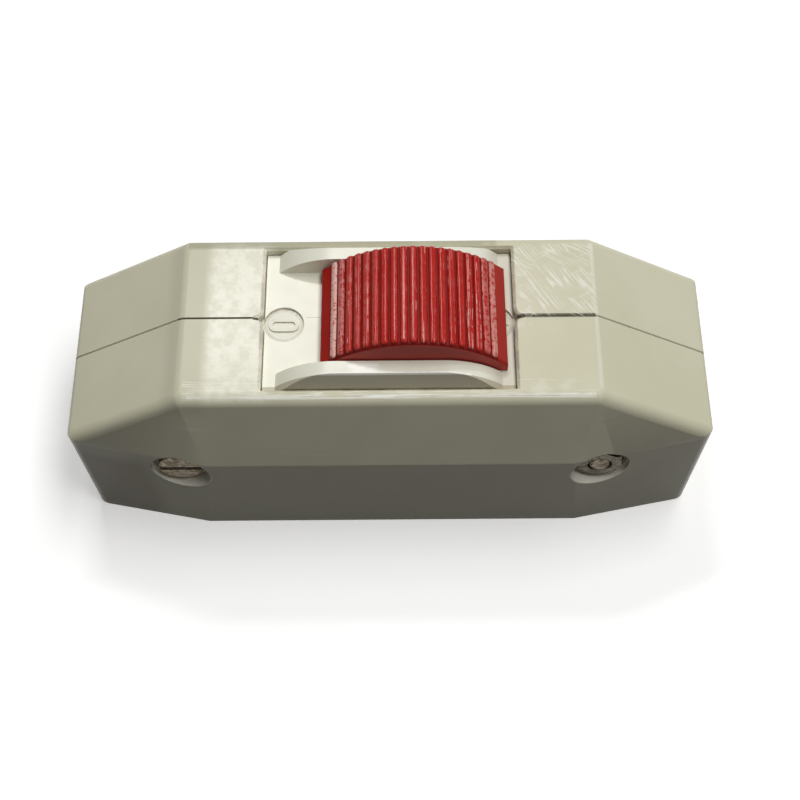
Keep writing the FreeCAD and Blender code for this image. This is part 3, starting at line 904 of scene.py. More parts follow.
# The white module: its plate, the round recesses of the marks and the front rail.
DISC_AXIS = (14.5, -0.3, 0.0)
DISCS = Zone(reach=(2.3, 2.75), hub=DISC_AXIS, along=Axis.Z, fade=0.15, mirrored=True)
DISC_FLOORS = Zone(z=(29.0, 29.65), reach=(0.0, 2.7), hub=DISC_AXIS, along=Axis.Z, fade=0.05,
                   mirrored=True)
PLATE_RIGHT_SHADE = Zone(x=(12.0, 18.0), y=(-12.0, 12.0), z=(29.0, 30.0), fade=2.0)
FLOW_LINE = Zone(x=(-11.4, -9.0), y=(0.75, 0.86), z=(29.6, 29.8), fade=0.06)
UNDER_PLATE = Zone(z=(-1.0, 28.6), fade=0.6)
FRONT_RAIL_SHADE = Zone(y=(-13.0, -10.25), z=(29.0, 33.0), fade=0.06)
FRONT_RAIL_HIGHLIGHT = Zone(x=(-9.0, 11.0), y=(-10.22, -9.98), z=(32.5, 33.3), fade=0.05)
FRONT_RAIL_GLINT = Zone(x=(-5.2, -1.6), y=(-9.9, -8.9), z=(32.9, 33.3), fade=0.5)

# The slider at rest: its crown's axis and radius and its ribs, in millimetres.
CROWN = (3.4, 0.0, 19.95)
CROWN_RADIUS = 16.85
RIBS = 19
RIB_PITCH = 1.30
RIB_REACH = 0.55  # from a rib's middle to the edge of its zone
GROOVE_SHADE = Zone(reach=(0.0, 16.95), hub=CROWN, fade=0.12)
CRESTS = Zone(reach=(17.12, 30.0), hub=CROWN, fade=0.08)
CROWN_FRONT_SHEEN = Zone(y=(-9.0, -7.9), reach=(0.0, 16.7), hub=CROWN, fade=0.06)
LEFT_SHOULDER_SHADE = Zone(x=(-10.0, -7.95), z=(28.0, 40.0), fade=0.05)
RIGHT_SHOULDER = Zone(x=(14.75, 17.0), z=(28.0, 40.0), fade=0.05)


def rib_crests(first: int, last: int) -> Zone:
    """Crests of some of the slider's ribs.

    Args:
        first: Number of the first rib, from 0 at the left.
        last: Number of the last rib.

    Returns:
        Their zone.
    """

    def along(number: int) -> float:
        """Place of a rib's crest along the switch."""
        steps = number - (RIBS - 1) / 2
        return CROWN[0] + CROWN_RADIUS * math.sin(steps * RIB_PITCH / CROWN_RADIUS)

    return Zone(x=(along(first) - RIB_REACH, along(last) + RIB_REACH),
                reach=(17.0, 30.0), hub=CROWN, fade=0.08)


# Injection-moulded ABS, cream and a little yellowed: a worn gloss on the flats,
# faint clouds, a browner lower half, grime in the seam and the screw recesses,
# long fine scratches and scuffs from use. Painted light and shade are laid in
# as well: a painted glare with bright streaks on the top's left part, painted
# shade at the left bend, painted highlights along the front edge and the right
# bend, and painted light on the lower walls of the screw recesses.
HOUSING = Surface(
    name="cream ABS, injection moulded, handled and scratched",
    colour="#DAD7BF", second="#D0CCB2", clouds=14.0, clouding=0.5,
    roughness=0.25, uneven=0.04, refraction=1.52, shine=0.10, grain=1.1, relief=0.002,
    marks=(
        Mark(LOWER_HALF, "#B0AA90", 0.5),
        Mark(LEFT_FOOT, "#8C7B64", 0.6),
        # painted shade: a darker strip along the left bend, outside the glare
        Mark(LEFT_BEND_SHADE, "#C2C1AA", 0.5),
        # painted glare: the top's left part lightened, with brighter spots where the rear light
        # reflects
        Mark(TOP_LEFT_GLARE, "#E5E3D0", 0.95, roughness=0.2),
        Mark(TOP_LEFT_GLARE, "#F8F6E6", 0.7, patch=1.3, cover=0.52, roughness=0.17),
        Mark(REAR_EDGE, "#A3A088", 0.62, patch=6.0, cover=0.7, roughness=0.42),
        # painted highlight: pale patches along the front top edge
        Mark(FRONT_EDGE_HIGHLIGHT, "#F3F1E4", 0.5, patch=2.2, cover=0.52),
        # painted highlight: a bright line along the right bend
        Mark(RIGHT_BEND_HIGHLIGHT, "#EFEEE2", 0.4, patch=3.0, cover=0.6),
        Mark(TOP_RIGHT_REAR, "#DDDBC8", 0.4, patch=2.2, cover=0.45, roughness=0.42),
        Mark(TOP_FRONT, "#E9E7D8", 0.55, patch=2.6, cover=0.42, roughness=0.4),
        Mark(WINDOW_CORNERS, "#EFEDE0", 0.6, patch=1.1, cover=0.45, roughness=0.45),
        Mark(WINDOW_EDGE, "#8B8470", 0.35, patch=2.0, cover=0.5, roughness=0.6),
        Mark(SEAM, "#6B6554", 0.45, patch=4.0, cover=0.75, roughness=0.7),
        Mark(SEAM_LEFT, "#4A4434", 0.85, roughness=0.7),
        Mark(SEAM_RIGHT, "#4B4535", 0.8, roughness=0.7),
        Mark(RECESS_FLOORS, "#7A6A50", 0.6, patch=1.2, cover=0.6, roughness=0.6),
        # painted light: the lower walls and rims of the screw recesses made near white, as if lit
        # from above
        Mark(LIT_RECESS_WALLS, "#FBF9EC", 0.9)),
    scratches=(
        # painted glare: bright streaks on the top's left part
        Scratches(TOP_LEFT_GLARE, "#FFFEF2", 0.35, 0.8, length=30.0, turn=1.0, curl=0.4, cover=0.5),
        # painted highlight: bright broken lines along the front top edge
        Scratches(FRONT_EDGE_HIGHLIGHT, "#FFFFF8", 1.0, 0.22, length=16.0, turn=0.0, curl=0.1, width=0.11,
                  broken=2.2, cover=0.64),
        Scratches(TOP_FRONT, "#F6F4E9", 0.7, 0.7, length=26.0, turn=-1.0, curl=0.5, cover=0.5),
        Scratches(TOP_RIGHT_REAR, "#F6F5EB", 0.65, 0.55, length=14.0, turn=-58.0, curl=0.7,
                  width=0.045, broken=3.0),
        Scratches(TOP_RIGHT_REAR, "#F6F5EB", 0.55, 0.6, length=12.0, turn=-36.0, curl=1.0,
                  width=0.045, broken=3.5),
        Scratches(TOP_RIGHT_REAR, "#F1F0E4", 0.45, 0.7, length=12.0, turn=24.0, curl=0.9,
                  width=0.04, broken=2.5, cover=0.42),
        Scratches(FRONT_FACES, "#E4E2D2", 0.35, 2.4, length=24.0, turn=0.0, curl=0.6,
                  broken=9.0, cover=0.36, upright=True)))

# Injection-moulded white ABS from a polished mould: glossy and nearly clean,
# with painted shade that greys the plate's right part and the front rail's
# front face, a painted highlight along that rail's edge and painted glints on
# its top, darker floors and rims in the two round recesses, and a flow line
# beside one of them.
MODULE = Surface(
    name="white ABS, injection moulded, polished mould",
    colour="#EDEDDE", second="#E4E3D2", clouds=9.0, clouding=0.5,
    roughness=0.24, uneven=0.05, refraction=1.53, shine=0.18, grain=1.6, relief=0.002,
    marks=(
        # painted shade: the plate's right part greyer than its glare-lit left
        Mark(PLATE_RIGHT_SHADE, "#D0CDBE", 0.85),
        # painted shade on the front rail's front face
        Mark(FRONT_RAIL_SHADE, "#A89F86", 0.8),
        # painted highlight: a bright line along the front rail's outer top edge
        Mark(FRONT_RAIL_HIGHLIGHT, "#FFFEF6", 0.85, patch=2.5, cover=0.62),
        # painted glint on the front rail's top
        Mark(FRONT_RAIL_GLINT, "#FFFFFA", 0.8, patch=1.6, cover=0.6),
        Mark(DISC_FLOORS, "#D3D1C0", 0.7),
        Mark(DISCS, "#9F9985", 0.4, patch=1.0, cover=0.6),
        Mark(FLOW_LINE, "#A7A291", 0.5),
        Mark(UNDER_PLATE, "#B9B4A0", 0.6, patch=4.0, cover=0.6)))

# Injection-moulded red ABS: painted shade in the grooves and on the left shoulder,
# a painted sheen on the crown's front face, painted highlight lines along the rib
# crests, and scuffed pale on the rib crests at both ends, where thumbs push.
THUMB = Surface(
    name="red ABS, injection moulded, ribbed and scuffed",
    colour="#B81D13", second="#AA1810", clouds=5.0, clouding=0.5,
    roughness=0.16, uneven=0.04, refraction=1.52, shine=0.14, grain=0.7, relief=0.002,
    marks=(
        # painted shade in the grooves between the ribs
        Mark(GROOVE_SHADE, "#6E120C", 0.8, roughness=0.6),
        Mark(CRESTS, "#BC3A32", 0.4, patch=0.6, cover=0.44, roughness=0.3),
        # painted sheen: the crown's front face lightened and paled like a hazy reflection
        Mark(CROWN_FRONT_SHEEN, "#D9625A", 0.65),
        # painted shade: the left shoulder darker and deeper red
        Mark(LEFT_SHOULDER_SHADE, "#A01004", 0.9),
        Mark(RIGHT_SHOULDER, "#B83A30", 0.5),
        Mark(rib_crests(2, 5), "#B84A43", 0.5, patch=0.8, cover=0.54, roughness=0.3),
        Mark(rib_crests(1, 1), "#C67F7A", 0.85, patch=0.45, cover=0.52, roughness=0.45),
        Mark(rib_crests(0, 0), "#E4BDB3", 0.9, patch=0.4, cover=0.58, roughness=0.5),
        Mark(rib_crests(17, 17), "#CB837A", 0.6, patch=0.6, cover=0.52, roughness=0.45),
        Mark(rib_crests(18, 18), "#D9A097", 0.7, patch=0.6, cover=0.54, roughness=0.45)),
    scratches=(
        # painted highlights: thin bright lines along the middle ribs' crests
        Scratches(rib_crests(3, 15), "#F3BDB1", 0.6, 0.36, length=30.0, turn=90.0, curl=0.0,
                  width=0.018, broken=1.4, cover=0.48),
        # these two sets: scuffs and painted highlight lines on the ribs at both ends
        Scratches(rib_crests(0, 4), "#EFC4BB", 0.6, 0.36, length=14.0, turn=90.0, curl=0.02,
                  width=0.04, broken=0.9, cover=0.5),
        Scratches(rib_crests(15, 18), "#EFC4BB", 0.65, 0.34, length=20.0, turn=90.0, curl=0.02,
                  width=0.035, broken=1.0, cover=0.52)))

# Compression-moulded phenolic: near black, dull, with a faint brown mottle.
CARRIER = Surface(
    name="black phenolic, compression moulded", colour="#1E1B19", second="#2B2521",
    clouds=1.5, clouding=0.7, roughness=0.42, refraction=1.6, grain=0.5, relief=0.004)

# Injection-moulded polyamide in natural grey: waxy and a little rough.
CLAMP = Surface(
    name="grey polyamide, injection moulded", colour="#8B8D88", second="#7D7F7A",
    clouds=3.0, clouding=0.6, roughness=0.5, refraction=1.53, grain=0.4, relief=0.004)

# Stamped brass strip: bright along the sheet with fine drawing lines.
CONTACTS = Surface(
    name="brass strip, rolled and stamped", colour="#C9A45A", second="#B08A45",
    clouds=3.0, clouding=0.6, roughness=0.3, uneven=0.06, metal=1.0, grain=0.25, relief=0.002,
    scratches=(Scratches(ALL_OVER, "#E2C686", 0.5, 0.35, cover=0.6),))

# Machined brass bar, duller than the strip where it was sawn.
TERMINALS = Surface(
    name="brass bar, turned and drilled", colour="#B8934C", second="#9C7B3E",
    clouds=2.0, clouding=0.6, roughness=0.38, uneven=0.07, metal=1.0, grain=0.3, relief=0.003)

# Drawn spring wire with a thin oil film.
SPRINGS = Surface(
    name="spring steel, drawn", colour="#A7A6A2", second="#8F8D88",
    clouds=1.5, clouding=0.5, roughness=0.28, metal=1.0, grain=0.2, relief=0.001)

# Small plated screws, yellowed zinc over steel.
SMALL_SCREWS = Surface(
    name="steel, zinc plated and yellowed", colour="#B9AE8C", second="#9E9376",
    clouds=1.2, clouding=0.6, roughness=0.34, metal=1.0, grain=0.25, relief=0.002)

# Steel that lost most of its plating: brown rust in the slot and at the rim.
HOUSING_SCREWS = Surface(
    name="steel screw, plated, brown with rust", colour="#8A8272", second="#655B4C",
    clouds=1.0, clouding=0.8, roughness=0.44, uneven=0.1, metal=1.0, grain=0.35, relief=0.008,
    marks=(Mark(ALL_OVER, "#463728", 0.75, patch=0.45, cover=0.5, roughness=0.75),))

# Cold-headed steel nut, dulled, with rust at the corners.
HOUSING_NUTS = Surface(
    name="steel nut, plated and dulled", colour="#6C685E", second="#4C473D",
    clouds=1.4, clouding=0.7, roughness=0.38, uneven=0.08, metal=1.0, grain=0.4, relief=0.006,
    marks=(Mark(ALL_OVER, "#453A2C", 0.7, patch=0.5, cover=0.5, roughness=0.75),))

FINISHES: dict[str, Surface] = {
    "housing_plastic": HOUSING,
    "white_plastic": MODULE,
    "red_plastic": THUMB,
    "dark_moulding": CARRIER,
    "clamp_plastic": CLAMP,
    "contact_brass": CONTACTS,
    "terminal_brass": TERMINALS,
    "spring_steel": SPRINGS,
    "small_screws": SMALL_SCREWS,
    "housing_screws": HOUSING_SCREWS,
    "housing_nuts": HOUSING_NUTS,
}


# Sub-assemblies.


@dataclass
class HousingShells:
    """The two half shells, with the tiny roundings that a real mould leaves.

    Attributes:
        edge: Width of the rounding on their edges.
    """

    edge: float = 0.09 * MM

    def build(self, dresser: Dresser) -> None:
        """Make both shells and put them in place of their nodes.

        Args:
            dresser: Gives the pieces their materials and bodies.
        """
        for row in Row:
            node = f"{row.word}_shell"
            shell = refined(node, f"{row.word}_half_shell", self.edge)
            dresser.dress(shell, "housing_plastic", "housing", node)


@dataclass
class SwitchModule:
    """White plate with its rails, and the cover under the contacts.

    Attributes:
        edge: Width of the rounding on the moulding's edges.
    """

    edge: float = 0.1 * MM

    def build(self, dresser: Dresser) -> None:
        """Make the moulding and dress its cover.

        Args:
            dresser: Gives the pieces their materials and bodies.
        """
        body = refined("switch_body", "module_moulding", self.edge)
        dresser.dress(body, "white_plastic", "housing", "switch_body")
        dresser.keep("module_cover", "white_plastic")


@dataclass
class ThumbSlider:
    """Red crown with shoulders, ribs and the stem that drives the carrier.

    Attributes:
        rest: Place of its middle along the switch.
        length: Length over both shoulders.
        half_width: Half its width.
        crown_radius: Radius of the crown's curve.
        crown_centre: Height of that curve's axis.
        crown_sides: Sides of the bar that the crown is cut from.
        bottom: Height of its underside.
        shoulder: Length of each shoulder.
        shoulder_height: Height of the shoulders' outer edges.
        side_rounding: Rounding along the crown's sides.
        side_segments: Strips in it.
        end_rounding: Rounding of the shoulders' outer edges.
        end_segments: Strips in it.
        ribs: Number of ribs.
        pitch: Distance between ribs along the crown.
        rib_width: Width of a rib.
        rib_rise: Height of a rib over the crown.
        rib_root: Depth of a rib's foot in the crown.
        rib_inset: Distance of a rib's ends from the crown's sides.
        rib_end_rounding: Rounding of a rib's ends.
        rib_rounding: Rounding along a rib's crest.
        rib_rounding_depth: How far under the crown's surface that rounding goes.
        rib_segments: Strips in both roundings.
        stem_half_length: Half the stem's length.
        stem_half_width: Half the stem's width.
        stem_bottom: Height of the stem's lower end.
        stem_root: How far the stem reaches into the crown.
    """

    rest: float = CROWN[0] * MM
    length: float = 25.4 * MM
    half_width: float = 7.95 * MM
    crown_radius: float = CROWN_RADIUS * MM
    crown_centre: float = CROWN[2] * MM
    crown_sides: int = 256
    bottom: float = 29.8 * MM
    shoulder: float = 1.4 * MM
    shoulder_height: float = 31.2 * MM
    side_rounding: float = 0.6 * MM
    side_segments: int = 5
    end_rounding: float = 0.3 * MM
    end_segments: int = 3
    ribs: int = RIBS
    pitch: float = RIB_PITCH * MM
    rib_width: float = 1.06 * MM
    rib_rise: float = 0.398 * MM
    rib_root: float = 1.0 * MM
    rib_inset: float = 0.15 * MM
    rib_end_rounding: float = 0.6 * MM
    rib_rounding: float = 0.42 * MM
    rib_rounding_depth: float = 0.9 * MM
    rib_segments: int = 6
    stem_half_length: float = 4.5 * MM
    stem_half_width: float = 2.0 * MM
    stem_bottom: float = 23.0 * MM
    stem_root: float = 0.5 * MM

    def crown(self) -> bpy.types.Object:
        """Smooth crown, cut from a round bar, with its end strips drawn down.

        Returns:
            The crown with its shoulders.
        """
        start = Vector((self.rest, -self.half_width, self.crown_centre))
        obj = round_bar("thumb_crown", self.crown_radius, start, Axis.Y, 2 * self.half_width,
                        self.crown_sides)
        edge = self.length / 2 - self.shoulder
        cuts = [((0.0, 0.0, self.bottom), (0.0, 0.0, -1.0)),
                ((self.rest + edge, 0.0, 0.0), (1.0, 0.0, 0.0)),
                ((self.rest - edge, 0.0, 0.0), (-1.0, 0.0, 0.0))]
        with editing(obj):
            for point, normal in cuts:
                bpy.ops.mesh.select_all(action="SELECT")
                bpy.ops.mesh.bisect(plane_co=point, plane_no=normal, use_fill=True,
                                    clear_outer=True, threshold=CUT_SLACK)
            for side in Side:
                self.draw_shoulder(obj, side, edge)
            self.round_edges(obj)
        return obj

    def draw_shoulder(self, obj: bpy.types.Object, side: Side, edge: float) -> None:
        """Extrude one end face to the slider's end and lower its top edge.

        Args:
            obj: Crown in edit mode.
            side: End to extrude.
            edge: Distance of the end face from the slider's middle.
        """
        place = self.rest + side.value * edge
        pick(obj, faces=lambda face: abs(face.calc_center_median().x - place) < NEAR
             and abs(face.normal.x) > FACING)
        out = (side.value * self.shoulder, 0.0, 0.0)
        bpy.ops.mesh.extrude_region_move(TRANSFORM_OT_translate={"value": out})
        end = self.rest + side.value * self.length / 2
        top = self.crown_centre + math.sqrt(self.crown_radius ** 2 - edge ** 2)
        pick(obj, edges=lambda item: abs(middle(item).x - end) < NEAR
             and middle(item).z > top - NEAR)
        bpy.ops.transform.translate(value=(0.0, 0.0, self.shoulder_height - top))

    def round_edges(self, obj: bpy.types.Object) -> None:
        """Round the long side edges of the crown and the outer edges of its ends.

        Args:
            obj: Crown in edit mode.
        """
        low = self.shoulder_height

        def at_side(item: bmesh.types.BMEdge) -> bool:
            """Whether the edge lies on a side of the crown, above its feet."""
            return (abs(abs(middle(item).y) - self.half_width) < NEAR
                    and middle(item).z > low + NEAR)

        def at_end(item: bmesh.types.BMEdge) -> bool:
            """Whether the edge crosses the outer end of a shoulder."""
            return (abs(abs(middle(item).x - self.rest) - self.length / 2) < NEAR
                    and abs(middle(item).z - low) < NEAR)

        rounded(obj, self.side_rounding, self.side_segments, at_side)
        rounded(obj, self.end_rounding, self.end_segments, at_end)

    def rib(self) -> bpy.types.Object:
        """Topmost rib, rounded down at its ends and along its crest.

        Returns:
            The rib, with its foot in the crown.
        """
        end = self.half_width - self.rib_inset
        top = self.crown_centre + self.crown_radius
        half = self.rib_width / 2
        obj = block("thumb_rib", (self.rest - half, -end, top - self.rib_root),
                    (self.rest + half, end, top + self.rib_rise))
        crest = top + self.rib_rise
        with editing(obj):
            rounded(obj, self.rib_end_rounding, self.rib_segments,
                    lambda item: abs(abs(middle(item).y) - end) < NEAR
                    and abs(middle(item).z - crest) < NEAR)
            rounded(obj, self.rib_rounding, self.rib_segments,
                    lambda item: abs(abs(middle(item).x - self.rest) - half) < NEAR
                    and middle(item).z > top - self.rib_rounding_depth)
        return obj

    def rib_copies(self) -> list[bpy.types.Object]:
        """All ribs, each turned about the crown's axis.

        Returns:
            The ribs from left to right.
        """
        first = self.rib()
        hub = Vector((self.rest, 0.0, self.crown_centre))
        angles = [(number - (self.ribs - 1) / 2) * self.pitch / self.crown_radius
                  for number in range(self.ribs)]
        copies = [turned_copy(first, angle, Axis.Y, hub) for angle in angles]
        bpy.data.objects.remove(first, do_unlink=True)
        return copies

    def build(self, dresser: Dresser) -> None:
        """Join crown, ribs and stem and put them in place of the CAD slider.

        Args:
            dresser: Gives the piece its material and body.
        """
        obj = self.crown()
        stem = block("thumb_stem",
                     (self.rest - self.stem_half_length, -self.stem_half_width, self.stem_bottom),
                     (self.rest + self.stem_half_length, self.stem_half_width,
                      self.bottom + self.stem_root))
        combined(obj, [stem] + self.rib_copies(), Merge.JOIN)
        weighted(obj)
        named(obj, "thumb_slider")
        dresser.dress(obj, "red_plastic", "thumb", "slider")


@dataclass
class HousingFasteners:
    """Two long slotted screws and their nuts, heads on opposite sides.

    Attributes:
        across: Distance of each axis from the switch's middle.
        height: Height of the axes.
        seat: Distance of a head's seat from the parting plane.
        radius: Radius over the thread.
        core: Radius of the shaft.
        core_sides: Sides of the shaft and of the nuts' bore.
        thread_pitch: Pitch of the thread.
        thread_steps: Steps in each turn of the thread.
        length: Length under the head.
        thread_length: Length of the thread.
        tip_chamfer: Bevel at the tip.
        head_radius: Radius of the head.
        head_sides: Sides of the head.
        head_thickness: Thickness of the head.
        head_root: How far the shaft reaches into the head.
        head_rounding: Rounding of the head's rim.
        head_segments: Strips in it.
        slot_width: Width of the slot.
        slot_depth: Depth of the slot.
        nut_flats: Size of a nut across its flats.
        nut_seat: Distance of a nut's seat from the parting plane.
        nut_thickness: Thickness of a nut.
        nut_chamfer: Bevel of a nut's corners.
        nut_form_sides: Sides of the round form that bevels them.
    """

    across: float = SCREW_AXIS[0] * MM
    height: float = SCREW_AXIS[2] * MM
    seat: float = 14.4 * MM
    radius: float = 1.75 * MM
    core: float = 1.45 * MM
    core_sides: int = 32
    thread_pitch: float = 0.6 * MM
    thread_steps: int = 20
    length: float = 30.0 * MM
    thread_length: float = 12.0 * MM
    tip_chamfer: float = 0.3 * MM
    head_radius: float = 3.2 * MM
    head_sides: int = 64
    head_thickness: float = 1.1 * MM
    head_root: float = 0.3 * MM
    head_rounding: float = 0.5 * MM
    head_segments: int = 5
    slot_width: float = 0.9 * MM
    slot_depth: float = 0.6 * MM
    nut_flats: float = 6.0 * MM
    nut_seat: float = 13.0 * MM
    nut_thickness: float = 2.4 * MM
    nut_chamfer: float = 0.4 * MM
    nut_form_sides: int = 72

    def thread(self, end: float) -> bpy.types.Object:
        """Helical ridge that ends near the screw's tip.

        Args:
            end: Y of the screw's tip.

        Returns:
            The ridge, closed at both ends.
        """
        reach = self.radius - self.core
        turns = round(self.thread_length / self.thread_pitch)
        start = end - self.tip_chamfer - (turns + 1) * self.thread_pitch
        centre = self.core + reach / 3
        bpy.ops.object.select_all(action="DESELECT")
        bpy.ops.mesh.primitive_circle_add(vertices=3, radius=reach * 2 / 3,
                                          location=(centre, start, 0.0),
                                          rotation=(0.0, 0.0, -math.pi / 2))
        obj = named(bpy.context.object, "screw_thread")
        settled(obj)
        applied(obj, "SCREW", axis="Y", angle=2 * math.pi, screw_offset=self.thread_pitch,
                iterations=turns, steps=self.thread_steps, render_steps=self.thread_steps)
        closed(obj)
        obj.data.transform(Matrix.Translation((-self.across, 0.0, self.height)))
        return obj

    def screw(self) -> bpy.types.Object:
        """Left screw: rounded head at the front, threaded and bevelled at the rear.

        Returns:
            The screw.
        """
        foot = Vector((-self.across, -self.seat, self.height))
        obj = round_bar("left_screw", self.head_radius, foot, Axis.Y, -self.head_thickness,
                        self.head_sides)
        front = foot.y - self.head_thickness
        with editing(obj):
            rounded(obj, self.head_rounding, self.head_segments,
                    lambda item: abs(middle(item).y - front) < NEAR)
        slot = block("slot", (-self.across - 2 * self.head_radius, front - OVERSHOOT,
                              self.height - self.slot_width / 2),
                     (-self.across + 2 * self.head_radius, front + self.slot_depth,
                      self.height + self.slot_width / 2))
        combined(obj, [slot], Merge.CUT)
        tip = foot.y + self.length
        start = Vector((foot.x, foot.y - self.head_root, foot.z))
        shaft = round_bar("shaft", self.core, start, Axis.Y, tip - start.y, self.core_sides)
        with editing(shaft):
            rounded(shaft, self.tip_chamfer, 1, lambda item: abs(middle(item).y - tip) < NEAR)
        combined(obj, [shaft, self.thread(tip)], Merge.JOIN)
        return obj

    def nut(self) -> bpy.types.Object:
        """Left nut at the rear, bored and with its corners bevelled.

        Returns:
            The nut.
        """
        foot = Vector((-self.across, self.nut_seat, self.height))
        corner = self.nut_flats / math.sqrt(3)
        obj = round_bar("left_nut", corner, foot, Axis.Y, self.nut_thickness, 6)
        form = round_bar("nut_form", corner, foot, Axis.Y, self.nut_thickness,
                         self.nut_form_sides)
        around = foot.y + self.nut_thickness / 2
        with editing(form):
            rounded(form, self.nut_chamfer, 1,
                    lambda item: abs(middle(item).y - around) > NEAR)
        combined(obj, [form], Merge.OVERLAP)
        bore = round_bar("bore", self.radius, foot - Vector((0.0, OVERSHOOT, 0.0)), Axis.Y,
                         self.nut_thickness + 2 * OVERSHOOT, self.core_sides)
        combined(obj, [bore], Merge.CUT)
        return obj

    def build(self, dresser: Dresser) -> None:
        """Make the left pair, turn copies of it for the right, and place all four.

        Args:
            dresser: Gives the pieces their materials and bodies.
        """
        for obj, kind, slot in ((self.screw(), "screw", "housing_screws"),
                                (self.nut(), "nut", "housing_nuts")):
            weighted(obj)
            other = turned_copy(obj, math.pi, Axis.Z)
            for piece, side in ((obj, Side.LEFT), (other, Side.RIGHT)):
                named(piece, f"{side.word}_housing_{kind}")
                dresser.dress(piece, slot, "housing", f"housing_{kind}_{side.word}")


@dataclass
class SwitchContacts:
    """Carrier, bridges, springs, strips and terminals inside the module.

    Attributes:
        rest: Place of the springs along the switch.
        pole: Distance of each pole from the parting plane.
        spring_radius: Radius of the coils' middle line.
        spring_turns: Turns of each coil.
        spring_steps: Steps in each turn.
        wire_radius: Radius of the wire's place in the CAD solid.
        wire_share: Share of it that the round wire fills, so that it stays inside.
        wire_sides: Sides of the wire.
        smooth_angle: Degrees up to which the wire's shading is smooth.
    """

    rest: float = CROWN[0] * MM
    pole: float = 6.0 * MM
    spring_radius: float = 1.65 * MM
    spring_turns: int = 5
    spring_steps: int = 28
    wire_radius: float = 0.3 * MM
    wire_share: float = 0.98
    wire_sides: int = 12
    smooth_angle: float = 60.0

    def spring(self, row: Row) -> bpy.types.Object:
        """Coil spring of round wire, as tall as its CAD solid.

        Args:
            row: Pole that it belongs to.

        Returns:
            The spring, closed at both ends.
        """
        low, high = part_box(f"contact_spring_{row.word}")
        rise = high[2] - low[2] - 2 * self.wire_radius
        bpy.ops.object.select_all(action="DESELECT")
        bpy.ops.mesh.primitive_circle_add(vertices=self.wire_sides,
                                          radius=self.wire_radius * self.wire_share,
                                          location=(self.spring_radius, 0.0, 0.0),
                                          rotation=(math.pi / 2, 0.0, 0.0))
        obj = named(bpy.context.object, f"{row.word}_contact_coil")
        settled(obj)
        applied(obj, "SCREW", axis="Z", angle=2 * math.pi, iterations=self.spring_turns,
                screw_offset=rise / self.spring_turns, steps=self.spring_steps,
                render_steps=self.spring_steps)
        closed(obj)
        foot = (self.rest, row.value * self.pole, low[2] + self.wire_radius)
        obj.data.transform(Matrix.Translation(foot))
        return obj

    def build(self, dresser: Dresser) -> None:
        """Wind the springs and dress the CAD solids of the contacts.

        Args:
            dresser: Gives the pieces their materials and bodies.
        """
        for row in Row:
            coil = self.spring(row)
            smoothed(coil, self.smooth_angle)
            dresser.dress(coil, "spring_steel", "thumb", f"contact_spring_{row.word}")
            dresser.keep(f"contact_bridge_{row.word}", "contact_brass")
            for side in Side:
                place = f"{row.word}_{side.word}"
                dresser.keep(f"fixed_contact_{place}", "contact_brass")
                dresser.keep(f"terminal_block_{place}", "terminal_brass")
                dresser.keep(f"terminal_screw_{place}", "small_screws")
        dresser.keep("contact_carrier", "dark_moulding")
        dresser.keep("detent_spring", "spring_steel")
        dresser.keep("earth_connector", "terminal_brass")
        dresser.keep("earth_screws", "small_screws")


@dataclass
class CordClamps:
    """Clamp bars behind the cable inlets and their screws.

    Attributes:
        edge: Width of the rounding on a bar's edges.
        least_angle: Degrees from which an edge is rounded.
    """

    edge: float = 0.2 * MM
    least_angle: float = 30.0

    def build(self, dresser: Dresser) -> None:
        """Round the bars and dress their screws.

        Args:
            dresser: Gives the pieces their materials and bodies.
        """
        for side in Side:
            node = f"cable_clamp_{side.word}"
            bar = refined(node, f"{side.word}_clamp_bar", self.edge, self.least_angle)
            dresser.dress(bar, "clamp_plastic", "housing", node)
            dresser.keep(f"clamp_screws_{side.word}", "small_screws")


# Studio.


@dataclass(frozen=True)
class Softbox:
    """Rectangular area light that looks at the switch.

    Attributes:
        name: Name of the light.
        place: Middle of the light in metres.
        size: Length and depth of the light in metres.
        power: Power in watts.
        colour: Linear colour of the light.
        aim: Point that it faces, in metres.
    """

    name: str
    place: tuple[float, float, float]
    size: tuple[float, float]
    power: float
    colour: tuple[float, float, float] = (1.0, 0.995, 0.975)
    aim: tuple[float, float, float] = (0.0, 0.0, 0.02)

    def build(self) -> None:
        """Hang the light and turn it to the switch."""
        lamp = bpy.data.lights.new(self.name, "AREA")
        lamp.shape = "RECTANGLE"
        lamp.size, lamp.size_y = self.size
        lamp.energy = self.power
        lamp.color = self.colour
        obj = bpy.data.objects.new(self.name, lamp)
        obj.location = self.place
        gaze = Vector(self.aim) - Vector(self.place)
        obj.rotation_euler = gaze.to_track_quat("-Z", "Y").to_euler()
        bpy.context.scene.collection.objects.link(obj)


